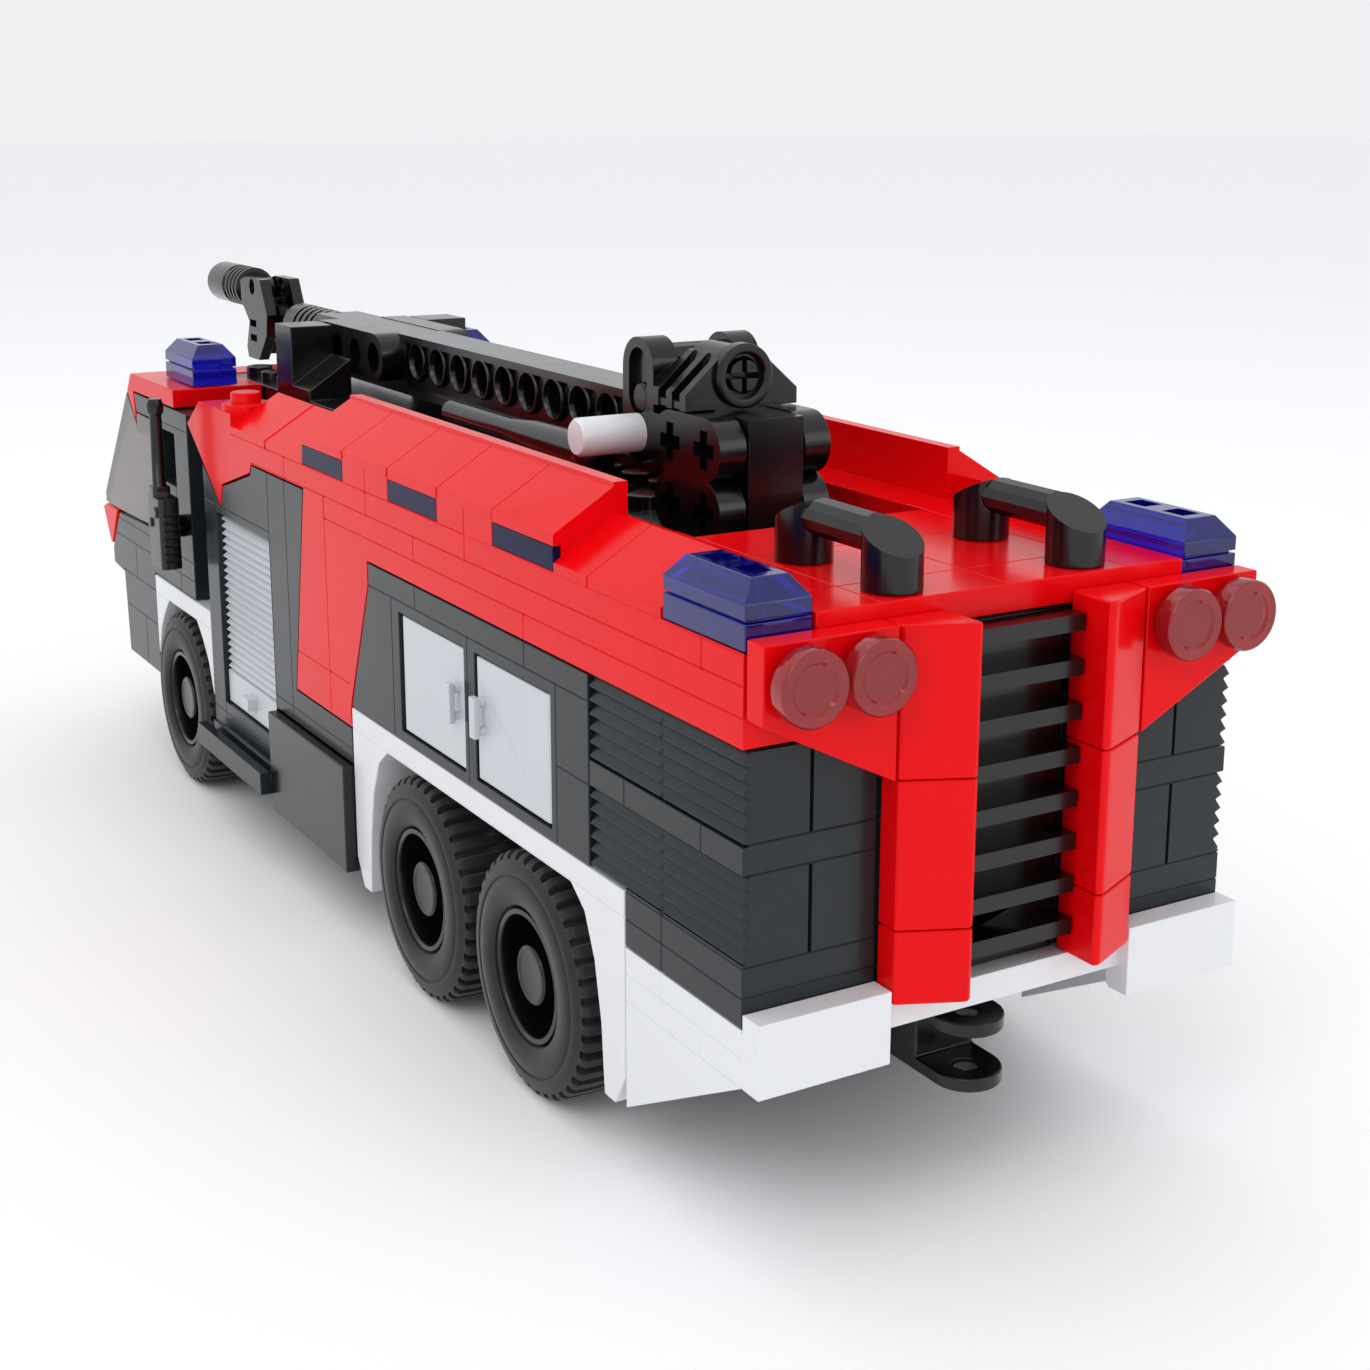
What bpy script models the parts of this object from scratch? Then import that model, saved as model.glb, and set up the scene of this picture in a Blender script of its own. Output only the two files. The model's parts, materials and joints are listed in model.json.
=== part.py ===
"""A building-brick model of a six-wheeled airport fire truck, as an assembly of separate pieces.

Lengths are in millimetres up to the point where a mesh is made, which is in metres. The model is laid
out from a datum: x = 0 is the rear face of the body, y = 0 is the middle and z = 0 is the lower edge of
the red band. An empty carries that datum to the real frame, with +X forward, +Y left and the ground at
z = 0 under the middle of the truck.
"""

import math

import bmesh
import bpy
from mathutils import Matrix, Vector

MM = 0.001

# The building-brick module, which every piece is laid out on.
STUD = 8.0
PLATE = 3.2
BRICK = 3 * PLATE
STUD_RADIUS = 2.4
SLOPE_LIP = 1.5
FIT = 0.3
HALF_FIT = FIT / 2

# Overall sizes of the body.
HALF_WIDTH = 4 * STUD
SIDE_THICKNESS = STUD
BODY_LENGTH = 21 * STUD
LOUVRE_LENGTH = 4 * STUD
ARCH_REAR_X = 3 * STUD
ARCH_END_X = 13 * STUD
HIGH_SLOPE_X = 5 * STUD
HIGH_SLOPE_END_X = BODY_LENGTH - 6 * STUD
SHUTTER_BAY_X = BODY_LENGTH - 4 * STUD
CORNER_X = BODY_LENGTH - 3 * STUD
BAND_TOP = BRICK
ROOF_EDGE = BAND_TOP + PLATE
PANEL_RAKE = 6.4
CORNER_FOOT_Z = 4.7
WINDOW_PLATES = 3
BELT_TOP = -7 * PLATE
BELT_BOTTOM = BELT_TOP - PLATE
SILL = -11 * PLATE
FRAME_BOTTOM = -13 * PLATE

# Running gear.
TYRE_RADIUS = 15.2
TYRE_WIDTH = 14.0
TYRE_SHOULDER = 1.5
RIM_RADIUS = 8.4
RIM_WALL = 1.2
HUB_RADIUS = 3.9
PIN_RADIUS = 2.4
PIN_PLAY = 0.3
WHEEL_PROUD = 1.0
AXLE_DROP = -FRAME_BOTTOM
REAR_WHEEL_X = 6 * STUD
MIDDLE_WHEEL_X = 10 * STUD
CAB_REAR_X = BODY_LENGTH + STUD
FRONT_WHEEL_X = CAB_REAR_X + STUD
WHEEL_Y = HALF_WIDTH + WHEEL_PROUD - TYRE_WIDTH / 2
BEAM_HALF_HEIGHT = BRICK / 2
WELL_FLOOR = 2 * PLATE
BEAM_HALF_WIDTH = WHEEL_Y - TYRE_WIDTH / 2 - 1.0
SPINE_HALF_WIDTH = 2 * STUD

# Rear end.
TILE_PROUD = PLATE
PILLAR_DEPTH = 6.4
LAMP_RADIUS = STUD / 2 - 0.1
SLAT_PITCH = BRICK / 2
SLAT_HEIGHT = 1.8
SLAT_DEPTH = 3.0
SLAT_COUNT = 8
LOUVRE_TOOTH = 0.9
TEETH_PER_BRICK = 6
HITCH_HOLE_X = 4.4
HITCH_HOLE_RADIUS = 1.5
HITCH_TONGUE = 1.6
HITCH_TOP = -36.0
HITCH_GAP = 4.8
HANDLE_POST_RADIUS = 3.2
HANDLE_BAR_RADIUS = 2.1
HANDLE_HEIGHT = 7.2

# Cupboards in the side.
CUPBOARD_REAR_X = 5 * STUD
CUPBOARD_LENGTH = 3 * STUD
CUPBOARD_DEPTH = 2 * STUD
CUPBOARD_WALL = 1.6
DOOR_HEIGHT = 15.6
DOOR_LENGTH = 19.8
DOOR_THICKNESS = 1.8
DOOR_PLAY = 0.35
DOOR_TOP = -5.0
DOOR_SETBACK = 0.2
DOOR_HANDLE_HEIGHT = 5.6
DOOR_HANDLE_PROUD = 1.6

# Roller shutter behind the front wheel.
SHUTTER_REAR_X = SHUTTER_BAY_X + 0.6
SHUTTER_LENGTH = 24.8
SHUTTER_TOP = -4.7
SHUTTER_HEIGHT = 31.6
SHUTTER_RIBS = 13
SHUTTER_RIB_PROUD = 0.9
SHUTTER_SETBACK = 0.6
SHUTTER_BOTTOM_RAIL = 5.6
SKIRT_TOP = -31.2
SKIRT_HEIGHT = 2 * STUD
SKIRT_SINK = 1.6

# Boom and its stand.
BOOM_AXIS_X = 8 * STUD
BOOM_AXIS_Z = 20.2
BOOM_LENGTH = BODY_LENGTH - 5 * STUD
BOOM_HALF_WIDTH = STUD / 2 - HALF_FIT
BOOM_TOP = BOOM_AXIS_Z + 3.8
LINK_TOP_Z = BOOM_AXIS_Z + 8.1
BRACKET_Z = BOOM_AXIS_Z + 8.0
BOOM_HEIGHT = BRICK
ARM_THICKNESS = STUD / 2
ARM_RADIUS = STUD / 2 - 0.1
ARM_DROP = 7.6
CROSS_TUBE_RADIUS = 2.9
PIVOT_PIN_RADIUS = 2.3
PIVOT_PIN_PROUD = 8.6
HEAD_RADIUS = 3.9
HEAD_LENGTH = 18.0
HEAD_TONGUE_HALF = 1.6
ELBOW_X = BOOM_AXIS_X + BOOM_LENGTH + 26.0
ELBOW_RADIUS = 2.6
ARM_TILT = math.radians(12)
ARM_LOW = 8.0
ARM_HIGH = 7.4
ARM_HALF_WIDTH = 3.9
NOZZLE_AXIS_X = ELBOW_X + 9.2
NOZZLE_AXIS_Z = BOOM_AXIS_Z + 4.7
NOZZLE_RADIUS = 3.9
NOZZLE_BACK = 4.4
NOZZLE_TIP_X = NOZZLE_AXIS_X + 23.2

# Cab.
CAB_WALL = 3.2
ROOF_REAR_X = CAB_REAR_X + 7.0
ROOF_FRONT_X = CAB_REAR_X + 32.7
SCREEN_TOP_X = CAB_REAR_X + 35.8
SCREEN_FOOT_X = CAB_REAR_X + 55.0
SCREEN_FOOT_Z = -12.4
SCREEN_SIDE_X = CAB_REAR_X + 21.2
SCREEN_WALL = 1.6
HEADER_X = CAB_REAR_X + 31.0
CHIN_X = CAB_REAR_X + 46.0
NOSE_X = CAB_REAR_X + 51.8
BUMPER_X = CAB_REAR_X + 45.0
DECK_END_X = CAB_REAR_X + 3 * STUD

REAR_END = -max(PILLAR_DEPTH, TILE_PROUD + PLATE)
DATUM_X = -(REAR_END + NOZZLE_TIP_X) / 2
DATUM_Z = AXLE_DROP + TYRE_RADIUS

ROUND_STEPS = 24
WHEEL_STEPS = 32
SMALL_STEPS = 12

RED = ("red_abs", (0.78, 0.008, 0.012, 1.0), 0.25)
DARK = ("dark_grey_abs", (0.055, 0.062, 0.068, 1.0), 0.3)
BLACK = ("black_abs", (0.012, 0.012, 0.013, 1.0), 0.3)
WHITE = ("white_abs", (0.82, 0.83, 0.85, 1.0), 0.25)
LIGHT = ("light_grey_abs", (0.62, 0.64, 0.67, 1.0), 0.3)
BLUE = ("clear_blue_plastic", (0.015, 0.015, 0.22, 1.0), 0.1)
SMOKE = ("smoke_plastic", (0.09, 0.075, 0.07, 1.0), 0.1)
TYRE = ("tyre_rubber", (0.035, 0.035, 0.035, 1.0), 0.75)


def clear_scene():
    for old in list(bpy.data.objects):
        bpy.data.objects.remove(old, do_unlink=True)


def material(finish):
    name, colour, roughness = finish
    found = bpy.data.materials.get(name)
    if found:
        return found
    made = bpy.data.materials.new(name)
    made.use_nodes = True
    shader = made.node_tree.nodes["Principled BSDF"]
    shader.inputs["Base Color"].default_value = colour
    shader.inputs["Roughness"].default_value = roughness
    shader.inputs["Metallic"].default_value = 0.0
    made.diffuse_color = colour
    return made


def mesh_from(bm, name="piece"):
    """Closes a bmesh into a mesh in metres, with its faces pointing out."""
    bmesh.ops.recalc_face_normals(bm, faces=bm.faces)
    bmesh.ops.scale(bm, vec=(MM, MM, MM), verts=bm.verts)
    mesh = bpy.data.meshes.new(name)
    bm.to_mesh(mesh)
    bm.free()
    return mesh


def prism(outline, axis, low, high):
    """An outline drawn across one axis and extruded along it from low to high.

    Across X the outline is (y, z), across Y it is (x, z) and across Z it is (x, y).
    """
    place = {
        "X": lambda a, b: (low, a, b),
        "Y": lambda a, b: (a, low, b),
        "Z": lambda a, b: (a, b, low),
    }[axis]
    along = {"X": (1, 0, 0), "Y": (0, 1, 0), "Z": (0, 0, 1)}[axis]
    bm = bmesh.new()
    face = bm.faces.new([bm.verts.new(place(a, b)) for a, b in outline])
    grown = bmesh.ops.extrude_face_region(bm, geom=[face])
    tips = [item for item in grown["geom"] if isinstance(item, bmesh.types.BMVert)]
    bmesh.ops.translate(bm, vec=Vector(along) * (high - low), verts=tips)
    return mesh_from(bm)


def box(x0, x1, y0, y1, z0, z1):
    return prism([(x0, z0), (x1, z0), (x1, z1), (x0, z1)], "Y", y0, y1)


def turned(profile, centre, axis, steps=ROUND_STEPS):
    """A profile of (radius, along) points turned about an axis through centre.

    An end at radius 0 is closed.
    """
    out = {"X": (0, 0, 1), "Y": (0, 0, 1), "Z": (1, 0, 0)}[axis]
    along = {"X": (1, 0, 0), "Y": (0, 1, 0), "Z": (0, 0, 1)}[axis]
    centre = Vector(centre)
    bm = bmesh.new()
    verts = [bm.verts.new(centre + Vector(out) * r + Vector(along) * a) for r, a in profile]
    edges = [bm.edges.new((a, b)) for a, b in zip(verts, verts[1:])]
    if profile[0][0] > 0:
        edges.append(bm.edges.new((verts[-1], verts[0])))
    bmesh.ops.spin(
        bm,
        geom=verts + edges,
        cent=centre,
        axis=along,
        angle=math.tau,
        steps=steps,
        use_merge=True,
        use_duplicate=False,
    )
    bmesh.ops.remove_doubles(bm, verts=bm.verts, dist=0.0001)
    return mesh_from(bm)


def rod(radius, centre, axis, low, high, steps=ROUND_STEPS):
    return turned([(0, low), (radius, low), (radius, high), (0, high)], centre, axis, steps)


def stadium(x0, x1, z, radius, y0, y1, steps=SMALL_STEPS):
    """A flat arm with round ends about (x0, z) and (x1, z)."""
    outline = []
    for cx, start in ((x1, -math.pi / 2), (x0, math.pi / 2)):
        for i in range(steps + 1):
            angle = start + math.pi * i / steps
            outline.append((cx + radius * math.cos(angle), z + radius * math.sin(angle)))
    return prism(outline, "Y", y0, y1)


def worked(base, tools, operation):
    """The base mesh with each tool added to it or cut from it."""
    target = bpy.data.objects.new("work", base)
    bpy.context.collection.objects.link(target)
    helpers = []
    for mesh in tools:
        helper = bpy.data.objects.new("tool", mesh)
        bpy.context.collection.objects.link(helper)
        helpers.append(helper)
        step = target.modifiers.new("step", "BOOLEAN")
        step.operation = operation
        step.solver = "EXACT"
        step.object = helper
    graph = bpy.context.evaluated_depsgraph_get()
    result = bpy.data.meshes.new_from_object(target.evaluated_get(graph))
    for helper in helpers + [target]:
        bpy.data.objects.remove(helper, do_unlink=True)
    return result


def added(base, *tools):
    return worked(base, tools, "UNION")


def cut(base, *tools):
    return worked(base, tools, "DIFFERENCE")


def mirrored(mesh):
    """A copy of a left-hand mesh for the right-hand side."""
    copy = mesh.copy()
    copy.transform(Matrix.Scale(-1.0, 4, Vector((0, 1, 0))))
    copy.flip_normals()
    return copy


def piece(name, mesh, finish, origin=(0, 0, 0)):
    """Places a mesh drawn in the datum's frame as a named object whose origin is at the given point."""
    mesh = mesh.copy()
    at = Vector(origin) * MM
    mesh.transform(Matrix.Translation(-at))
    mesh.materials.clear()
    mesh.materials.append(material(finish))
    mesh.shade_smooth()
    mesh.set_sharp_from_angle(angle=math.radians(35))
    made = bpy.data.objects.new(name, mesh)
    bpy.context.collection.objects.link(made)
    made.parent = bpy.data.objects["datum"]
    made.location = at
    return made


def pair(name, mesh, finish, origin=(0, 0, 0)):
    """The left-hand piece and its mirror image on the right."""
    x, y, z = origin
    piece(name + "_left", mesh, finish, origin)
    piece(name + "_right", mirrored(mesh), finish, (x, -y, z))


def side_box(x0, x1, z0, z1, y0=HALF_WIDTH - SIDE_THICKNESS + HALF_FIT, y1=HALF_WIDTH):
    return box(x0, x1, y0, y1, z0, z1)


# ---------------------------------------------------------------- running gear


def add_wheels():
    half = TYRE_WIDTH / 2
    bore = RIM_RADIUS + FIT
    shoulder = TYRE_RADIUS - TYRE_SHOULDER
    tyre = [
        (bore, -half),
        (shoulder, -half),
        (TYRE_RADIUS, TYRE_SHOULDER - half),
        (TYRE_RADIUS, half - TYRE_SHOULDER),
        (shoulder, half),
        (bore, half),
    ]
    web_out = -1.0
    web_in = -3.0
    hub_face = half - 1.0
    rim_in = FIT - half
    rim_out = half - 2 * FIT
    pin_bore = PIN_RADIUS + PIN_PLAY
    bore_end = half - 4.0
    rim_hole = RIM_RADIUS - RIM_WALL
    rim = [
        (0, bore_end),
        (pin_bore, bore_end),
        (pin_bore, rim_in),
        (HUB_RADIUS, rim_in),
        (HUB_RADIUS, web_in),
        (rim_hole, web_in),
        (rim_hole, rim_in),
        (RIM_RADIUS, rim_in),
        (RIM_RADIUS, rim_out),
        (rim_hole, rim_out),
        (rim_hole, web_out),
        (HUB_RADIUS, web_out),
        (HUB_RADIUS, hub_face),
        (0, hub_face),
    ]
    for name, x in (("front", FRONT_WHEEL_X), ("middle", MIDDLE_WHEEL_X), ("rear", REAR_WHEEL_X)):
        centre = (x, WHEEL_Y, -AXLE_DROP)
        pair("tyre_" + name, turned(tyre, centre, "Y", WHEEL_STEPS), TYRE, centre)
        pair("rim_" + name, turned(rim, centre, "Y", ROUND_STEPS), BLACK, centre)


def axle_pin(x):
    """One pin right across, which both wheels of an axle turn on."""
    end = WHEEL_Y + TYRE_WIDTH / 2 - 4.0 - FIT
    return rod(PIN_RADIUS, (x, 0, -AXLE_DROP), "Y", -end, end, SMALL_STEPS)


def axle_beam(x0, x1):
    low = -AXLE_DROP - BEAM_HALF_HEIGHT
    high = -AXLE_DROP + BEAM_HALF_HEIGHT
    return box(x0, x1, -BEAM_HALF_WIDTH, BEAM_HALF_WIDTH, low, high)


def add_axles():
    half = STUD / 2
    rear = axle_beam(REAR_WHEEL_X - half, MIDDLE_WHEEL_X + half)
    piece("rear_axle_beam", added(rear, axle_pin(REAR_WHEEL_X), axle_pin(MIDDLE_WHEEL_X)), BLACK)
    front = axle_beam(FRONT_WHEEL_X - half, FRONT_WHEEL_X + half)
    piece("front_axle_beam", added(front, axle_pin(FRONT_WHEEL_X)), BLACK)


def add_chassis():
    inner = HALF_WIDTH - SIDE_THICKNESS - HALF_FIT
    beam_top = -AXLE_DROP + BEAM_HALF_HEIGHT + FIT
    deck_low = BELT_BOTTOM + FIT
    deck_high = BELT_TOP - HALF_FIT
    spine_outline = [
        (STUD + FIT, deck_high),
        (STUD + FIT, SILL),
        (REAR_WHEEL_X - 2 * STUD, SILL),
        (REAR_WHEEL_X - 2 * STUD, beam_top),
        (BUMPER_X - CAB_WALL - FIT, beam_top),
        (BUMPER_X - CAB_WALL - FIT, BELT_BOTTOM - FIT),
        (BODY_LENGTH, BELT_BOTTOM - FIT),
        (BODY_LENGTH, deck_low),
        (BODY_LENGTH, deck_high),
    ]
    spine = prism(spine_outline, "Y", -SPINE_HALF_WIDTH, SPINE_HALF_WIDTH)
    deck = box(STUD + FIT, BODY_LENGTH - HALF_FIT, -inner, inner, deck_low, deck_high)
    tray = box(ARCH_END_X, BODY_LENGTH - HALF_FIT, -inner, inner, beam_top, SILL + PLATE)
    tail = box(STUD + FIT, ARCH_REAR_X, -inner, inner, SILL, SILL + PLATE)
    piece("chassis", added(spine, deck, tray, tail), BLACK)


# ---------------------------------------------------------------- rear end


def add_rear_bumper():
    skirt_end = ARCH_REAR_X - HALF_FIT
    skirt_top = -9 * PLATE - HALF_FIT
    skirt_outline = [(0, skirt_top), (0, SILL), (skirt_end, SILL - 4 * PLATE), (skirt_end, skirt_top)]
    low = HALF_WIDTH - SIDE_THICKNESS + HALF_FIT
    skirts = [prism(skirt_outline, "Y", y0, y1) for y0, y1 in ((low, HALF_WIDTH), (-HALF_WIDTH, -low))]
    cross = box(0, STUD, -HALF_WIDTH, HALF_WIDTH, skirt_top - PLATE, skirt_top)
    inner = 2 * STUD
    tiles = []
    for y0, y1 in ((inner, HALF_WIDTH), (-HALF_WIDTH, -inner)):
        tiles.append(box(-TILE_PROUD, -HALF_FIT, y0, y1, SILL, SILL + STUD))
        tiles.append(box(-TILE_PROUD / 2, 0.2, y0, y1, SILL + 0.3, skirt_top - 0.3))
    lip = box(-TILE_PROUD / 2, 0.2, -inner - 0.2, inner + 0.2, skirt_top - PLATE, skirt_top)
    piece("rear_bumper", added(cross, lip, *skirts, *tiles), WHITE)


def add_tow_hitch():
    half = STUD / 2
    low = HITCH_TOP - HITCH_TONGUE - HITCH_GAP
    root = STUD + FIT

    def tongue(top):
        outline = [(root + 1, -half), (root + 1, half), (HITCH_HOLE_X, half)]
        for i in range(1, SMALL_STEPS):
            angle = math.pi / 2 + math.pi * i / SMALL_STEPS
            outline.append((HITCH_HOLE_X + half * math.cos(angle), half * math.sin(angle)))
        outline.append((HITCH_HOLE_X, -half))
        return prism(outline, "Z", top - HITCH_TONGUE, top)

    block = box(root, 2 * STUD, -half, half, low - HITCH_TONGUE, HITCH_TOP)
    shape = added(block, tongue(HITCH_TOP), tongue(low))
    hole = rod(HITCH_HOLE_RADIUS, (HITCH_HOLE_X, 0, 0), "Z", low - STUD, HITCH_TOP + 1, SMALL_STEPS)
    piece("tow_hitch", cut(shape, hole), BLACK)


def add_rear_grille():
    half = STUD - HALF_FIT
    low = -9 * PLATE + HALF_FIT
    back = box(FIT, 3.0, -half, half, low, BAND_TOP - HALF_FIT)
    slats = []
    for i in range(SLAT_COUNT):
        top = BAND_TOP - HALF_FIT - 0.1 - i * SLAT_PITCH
        slats.append(box(-SLAT_DEPTH, 1.0, -half + 0.1, half - 0.1, top - SLAT_HEIGHT, top))
    piece("rear_grille", added(back, *slats), BLACK)


def add_rear_pillars():
    inner = STUD + HALF_FIT
    outer = 2 * STUD - HALF_FIT
    top = 3.5 * PLATE
    outline = [
        (-HALF_FIT, inner),
        (-HALF_FIT, outer),
        (-PLATE, outer),
        (-PILLAR_DEPTH + 0.3, inner + 1.4),
        (-PILLAR_DEPTH, inner + 0.6),
        (-PILLAR_DEPTH + 0.3, inner),
    ]
    pair("rear_pillar", prism(outline, "Z", top - 5 * STUD, top), RED)


def add_rear_lamps():
    inner = 2 * STUD + HALF_FIT
    outer = HALF_WIDTH - HALF_FIT
    top = 3.5 * PLATE
    block_outline = [(outer, top - STUD), (outer, top), (inner, top), (inner, top - 2 * STUD)]
    block = prism(block_outline, "X", -PLATE, -HALF_FIT)
    lamps = [
        rod(LAMP_RADIUS, (0, y, top - STUD / 2), "X", -2 * PLATE, -PLATE + 0.3)
        for y in (2.5 * STUD, 3.5 * STUD)
    ]
    pair("rear_lamps", added(block, *lamps), RED)


def saw_edge(root_y, tip_y, top, height, count):
    """The points of a saw-tooth edge going down, each tooth out along its lower side."""
    pitch = height / count
    points = []
    for i in range(count):
        points.append((root_y, top - i * pitch))
        points.append((tip_y, top - (i + 0.75) * pitch))
    points.append((root_y, top - height))
    return points


def add_rear_corners():
    top = -HALF_FIT
    low = BELT_TOP + HALF_FIT
    inner = 2 * STUD + HALF_FIT
    root = HALF_WIDTH - LOUVRE_TOOTH
    outline = [(inner, low), (inner, top)]
    outline += saw_edge(root, HALF_WIDTH, top, BRICK, TEETH_PER_BRICK)
    outline += [(HALF_WIDTH, -BRICK - 0.2), (HALF_WIDTH, -BRICK - PLATE)]
    outline += saw_edge(root, HALF_WIDTH, -BRICK - PLATE, -BRICK - PLATE - low, TEETH_PER_BRICK)
    flank = prism(outline, "X", 0, LOUVRE_LENGTH - HALF_FIT)
    edge = HALF_WIDTH - SIDE_THICKNESS + HALF_FIT
    foot = box(0, ARCH_REAR_X - HALF_FIT, edge, HALF_WIDTH, -9 * PLATE + HALF_FIT, low + 0.2)
    wall = box(FIT + HALF_FIT, STUD, STUD + HALF_FIT, inner + 0.2, -9 * PLATE + HALF_FIT, top)
    heel = box(0, 2.5, inner - 0.2, edge + 0.2, -9 * PLATE + HALF_FIT, low + 0.2)
    pair("rear_corner", added(flank, foot, wall, heel), DARK)


def add_rear_deck():
    half = HALF_WIDTH - SIDE_THICKNESS - HALF_FIT
    deck = box(0, 5 * STUD - HALF_FIT, -half, half, BAND_TOP + HALF_FIT, ROOF_EDGE)
    well = box(4.5 * STUD, 5 * STUD, -2 * STUD - HALF_FIT, 2 * STUD + HALF_FIT, 0, BRICK + STUD)
    piece("rear_deck", cut(deck, well), RED)


def add_roof_handles():
    base = ROOF_EDGE + HALF_FIT
    y = 1.5 * STUD
    rear_x = STUD / 2
    front_x = rear_x + 2 * STUD
    top = base + HANDLE_HEIGHT
    bar_z = top - HANDLE_BAR_RADIUS
    bar = rod(HANDLE_BAR_RADIUS, (0, y, bar_z), "X", rear_x, front_x, SMALL_STEPS)
    posts = [
        rod(HANDLE_POST_RADIUS, (x, y, 0), "Z", base, top + 1.0, ROUND_STEPS) for x in (rear_x, front_x)
    ]
    shape = added(bar, *posts)
    reach = HANDLE_POST_RADIUS + 1.0
    chamfers = []
    for x, way in ((rear_x, -1), (front_x, 1)):
        outer = x + way * reach
        inner = x - way * reach
        low = top - 4.0
        outline = [(outer, low), (inner, top + 0.4), (inner, top + 3.0), (outer, top + 3.0)]
        chamfers.append(prism(outline, "Y", y - STUD, y + STUD))
    pair("roof_handle", cut(shape, *chamfers), BLACK)


def beacon(x, outer_y, base):
    """A clear plate with a bevelled lamp cover on it, two studs long and one wide."""
    x0 = x + HALF_FIT
    x1 = x + 2 * STUD - HALF_FIT
    y0 = outer_y - STUD + HALF_FIT
    y1 = outer_y - HALF_FIT
    foot = box(x0, x1, y0, y1, base + HALF_FIT, base + PLATE - 0.3)
    neck = box(x0 + 0.5, x1 - 0.5, y0 + 0.5, y1 - 0.5, base + PLATE - 0.5, base + PLATE + 0.3)
    shoulder = base + PLATE + 1.6
    peak = base + 2 * PLATE + 0.6
    inset = 1.7
    cover = box(x0, x1, y0, y1, base + PLATE, shoulder)
    bm = bmesh.new()
    rings = []
    for level, step in ((shoulder - 0.2, 0.0), (shoulder, 0.0), (peak, inset)):
        corners = (
            (x0 + step, y0 + step),
            (x1 - step, y0 + step),
            (x1 - step, y1 - step),
            (x0 + step, y1 - step),
        )
        rings.append([bm.verts.new((cx, cy, level)) for cx, cy in corners])
    for lower, upper in zip(rings, rings[1:]):
        for i in range(4):
            j = (i + 1) % 4
            bm.faces.new((lower[i], lower[j], upper[j], upper[i]))
    bm.faces.new(list(reversed(rings[0])))
    bm.faces.new(rings[-1])
    return added(foot, neck, cover, mesh_from(bm))


def add_beacons():
    pair("rear_beacon", beacon(0, HALF_WIDTH, BAND_TOP), BLUE)
    pair("cab_beacon", beacon(FRONT_WHEEL_X, HALF_WIDTH - STUD / 2, ROOF_EDGE), BLUE)


# ---------------------------------------------------------------- body sides


def slope(x0, x1, base):
    """A low roof slope one stud wide that rises two plates from a lip at the side."""
    outer = HALF_WIDTH
    inner = HALF_WIDTH - STUD
    outline = [
        (outer, base),
        (outer, base + SLOPE_LIP),
        (inner, base + 2 * PLATE),
        (inner, base),
    ]
    return prism(outline, "X", x0, x1)


def add_upper_sides():
    """The red upper body of one side: band, window row, slopes, ledge and the panel before the cupboards."""
    low = HALF_WIDTH - SIDE_THICKNESS + HALF_FIT
    cupboard_end = CUPBOARD_REAR_X + 2 * CUPBOARD_LENGTH + STUD
    panel_foot = BELT_BOTTOM + HALF_FIT
    frame_top = 2 * PLATE
    slope_end = BODY_LENGTH - 2 * STUD
    outline = [
        (HALF_FIT, HALF_FIT),
        (cupboard_end + HALF_FIT, HALF_FIT),
        (cupboard_end + HALF_FIT, -PLATE),
        (ARCH_END_X + HALF_FIT, BELT_TOP),
        (ARCH_END_X + HALF_FIT, panel_foot),
        (HIGH_SLOPE_END_X + PANEL_RAKE, panel_foot),
        (HIGH_SLOPE_END_X, frame_top - HALF_FIT),
        (CORNER_X - 1.0, frame_top - HALF_FIT),
        (CORNER_X, CORNER_FOOT_Z),
        (CORNER_X + 14.0, CORNER_FOOT_Z - 4.0),
        (CORNER_X + 15.0, CORNER_FOOT_Z - 7.7),
        (BODY_LENGTH + 7.0, CORNER_FOOT_Z + 3.6),
        (BODY_LENGTH, ROOF_EDGE),
        (slope_end, ROOF_EDGE),
        (slope_end, BAND_TOP),
        (HALF_FIT, BAND_TOP - HALF_FIT),
    ]
    band = prism(outline, "Y", low, HALF_WIDTH)
    window_row = box(HIGH_SLOPE_X, HIGH_SLOPE_END_X, low, HALF_WIDTH, BAND_TOP - 0.4, ROOF_EDGE)
    kerb_top = ROOF_EDGE + 2 * PLATE
    kerb = box(HIGH_SLOPE_X, HIGH_SLOPE_END_X, low - 1.6, low + 0.2, ROOF_EDGE - 0.4, kerb_top)
    ledge_in = 2 * STUD + HALF_FIT
    ledge_low = BAND_TOP + HALF_FIT
    ledge = box(HIGH_SLOPE_X, CORNER_X, ledge_in, low + 0.2, ledge_low, ROOF_EDGE - HALF_FIT)
    slopes = [
        slope(2 * STUD, HIGH_SLOPE_X + 0.2, BAND_TOP - 0.3),
        slope(HIGH_SLOPE_X, HIGH_SLOPE_END_X, ROOF_EDGE - 0.3),
        slope(HIGH_SLOPE_END_X - 0.2, slope_end, BAND_TOP - 0.3),
    ]
    shape = added(band, window_row, kerb, ledge, *slopes)
    pockets = []
    for i in range(WINDOW_PLATES):
        x = HIGH_SLOPE_X + 4 * i * STUD
        outer = HALF_WIDTH + 1.0
        inner = HALF_WIDTH - 1.0
        pockets.append(box(x, x + 2 * STUD, inner, outer, BAND_TOP + HALF_FIT, ROOF_EDGE - HALF_FIT))
    pair("upper_side", cut(shape, *pockets), RED)


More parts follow.
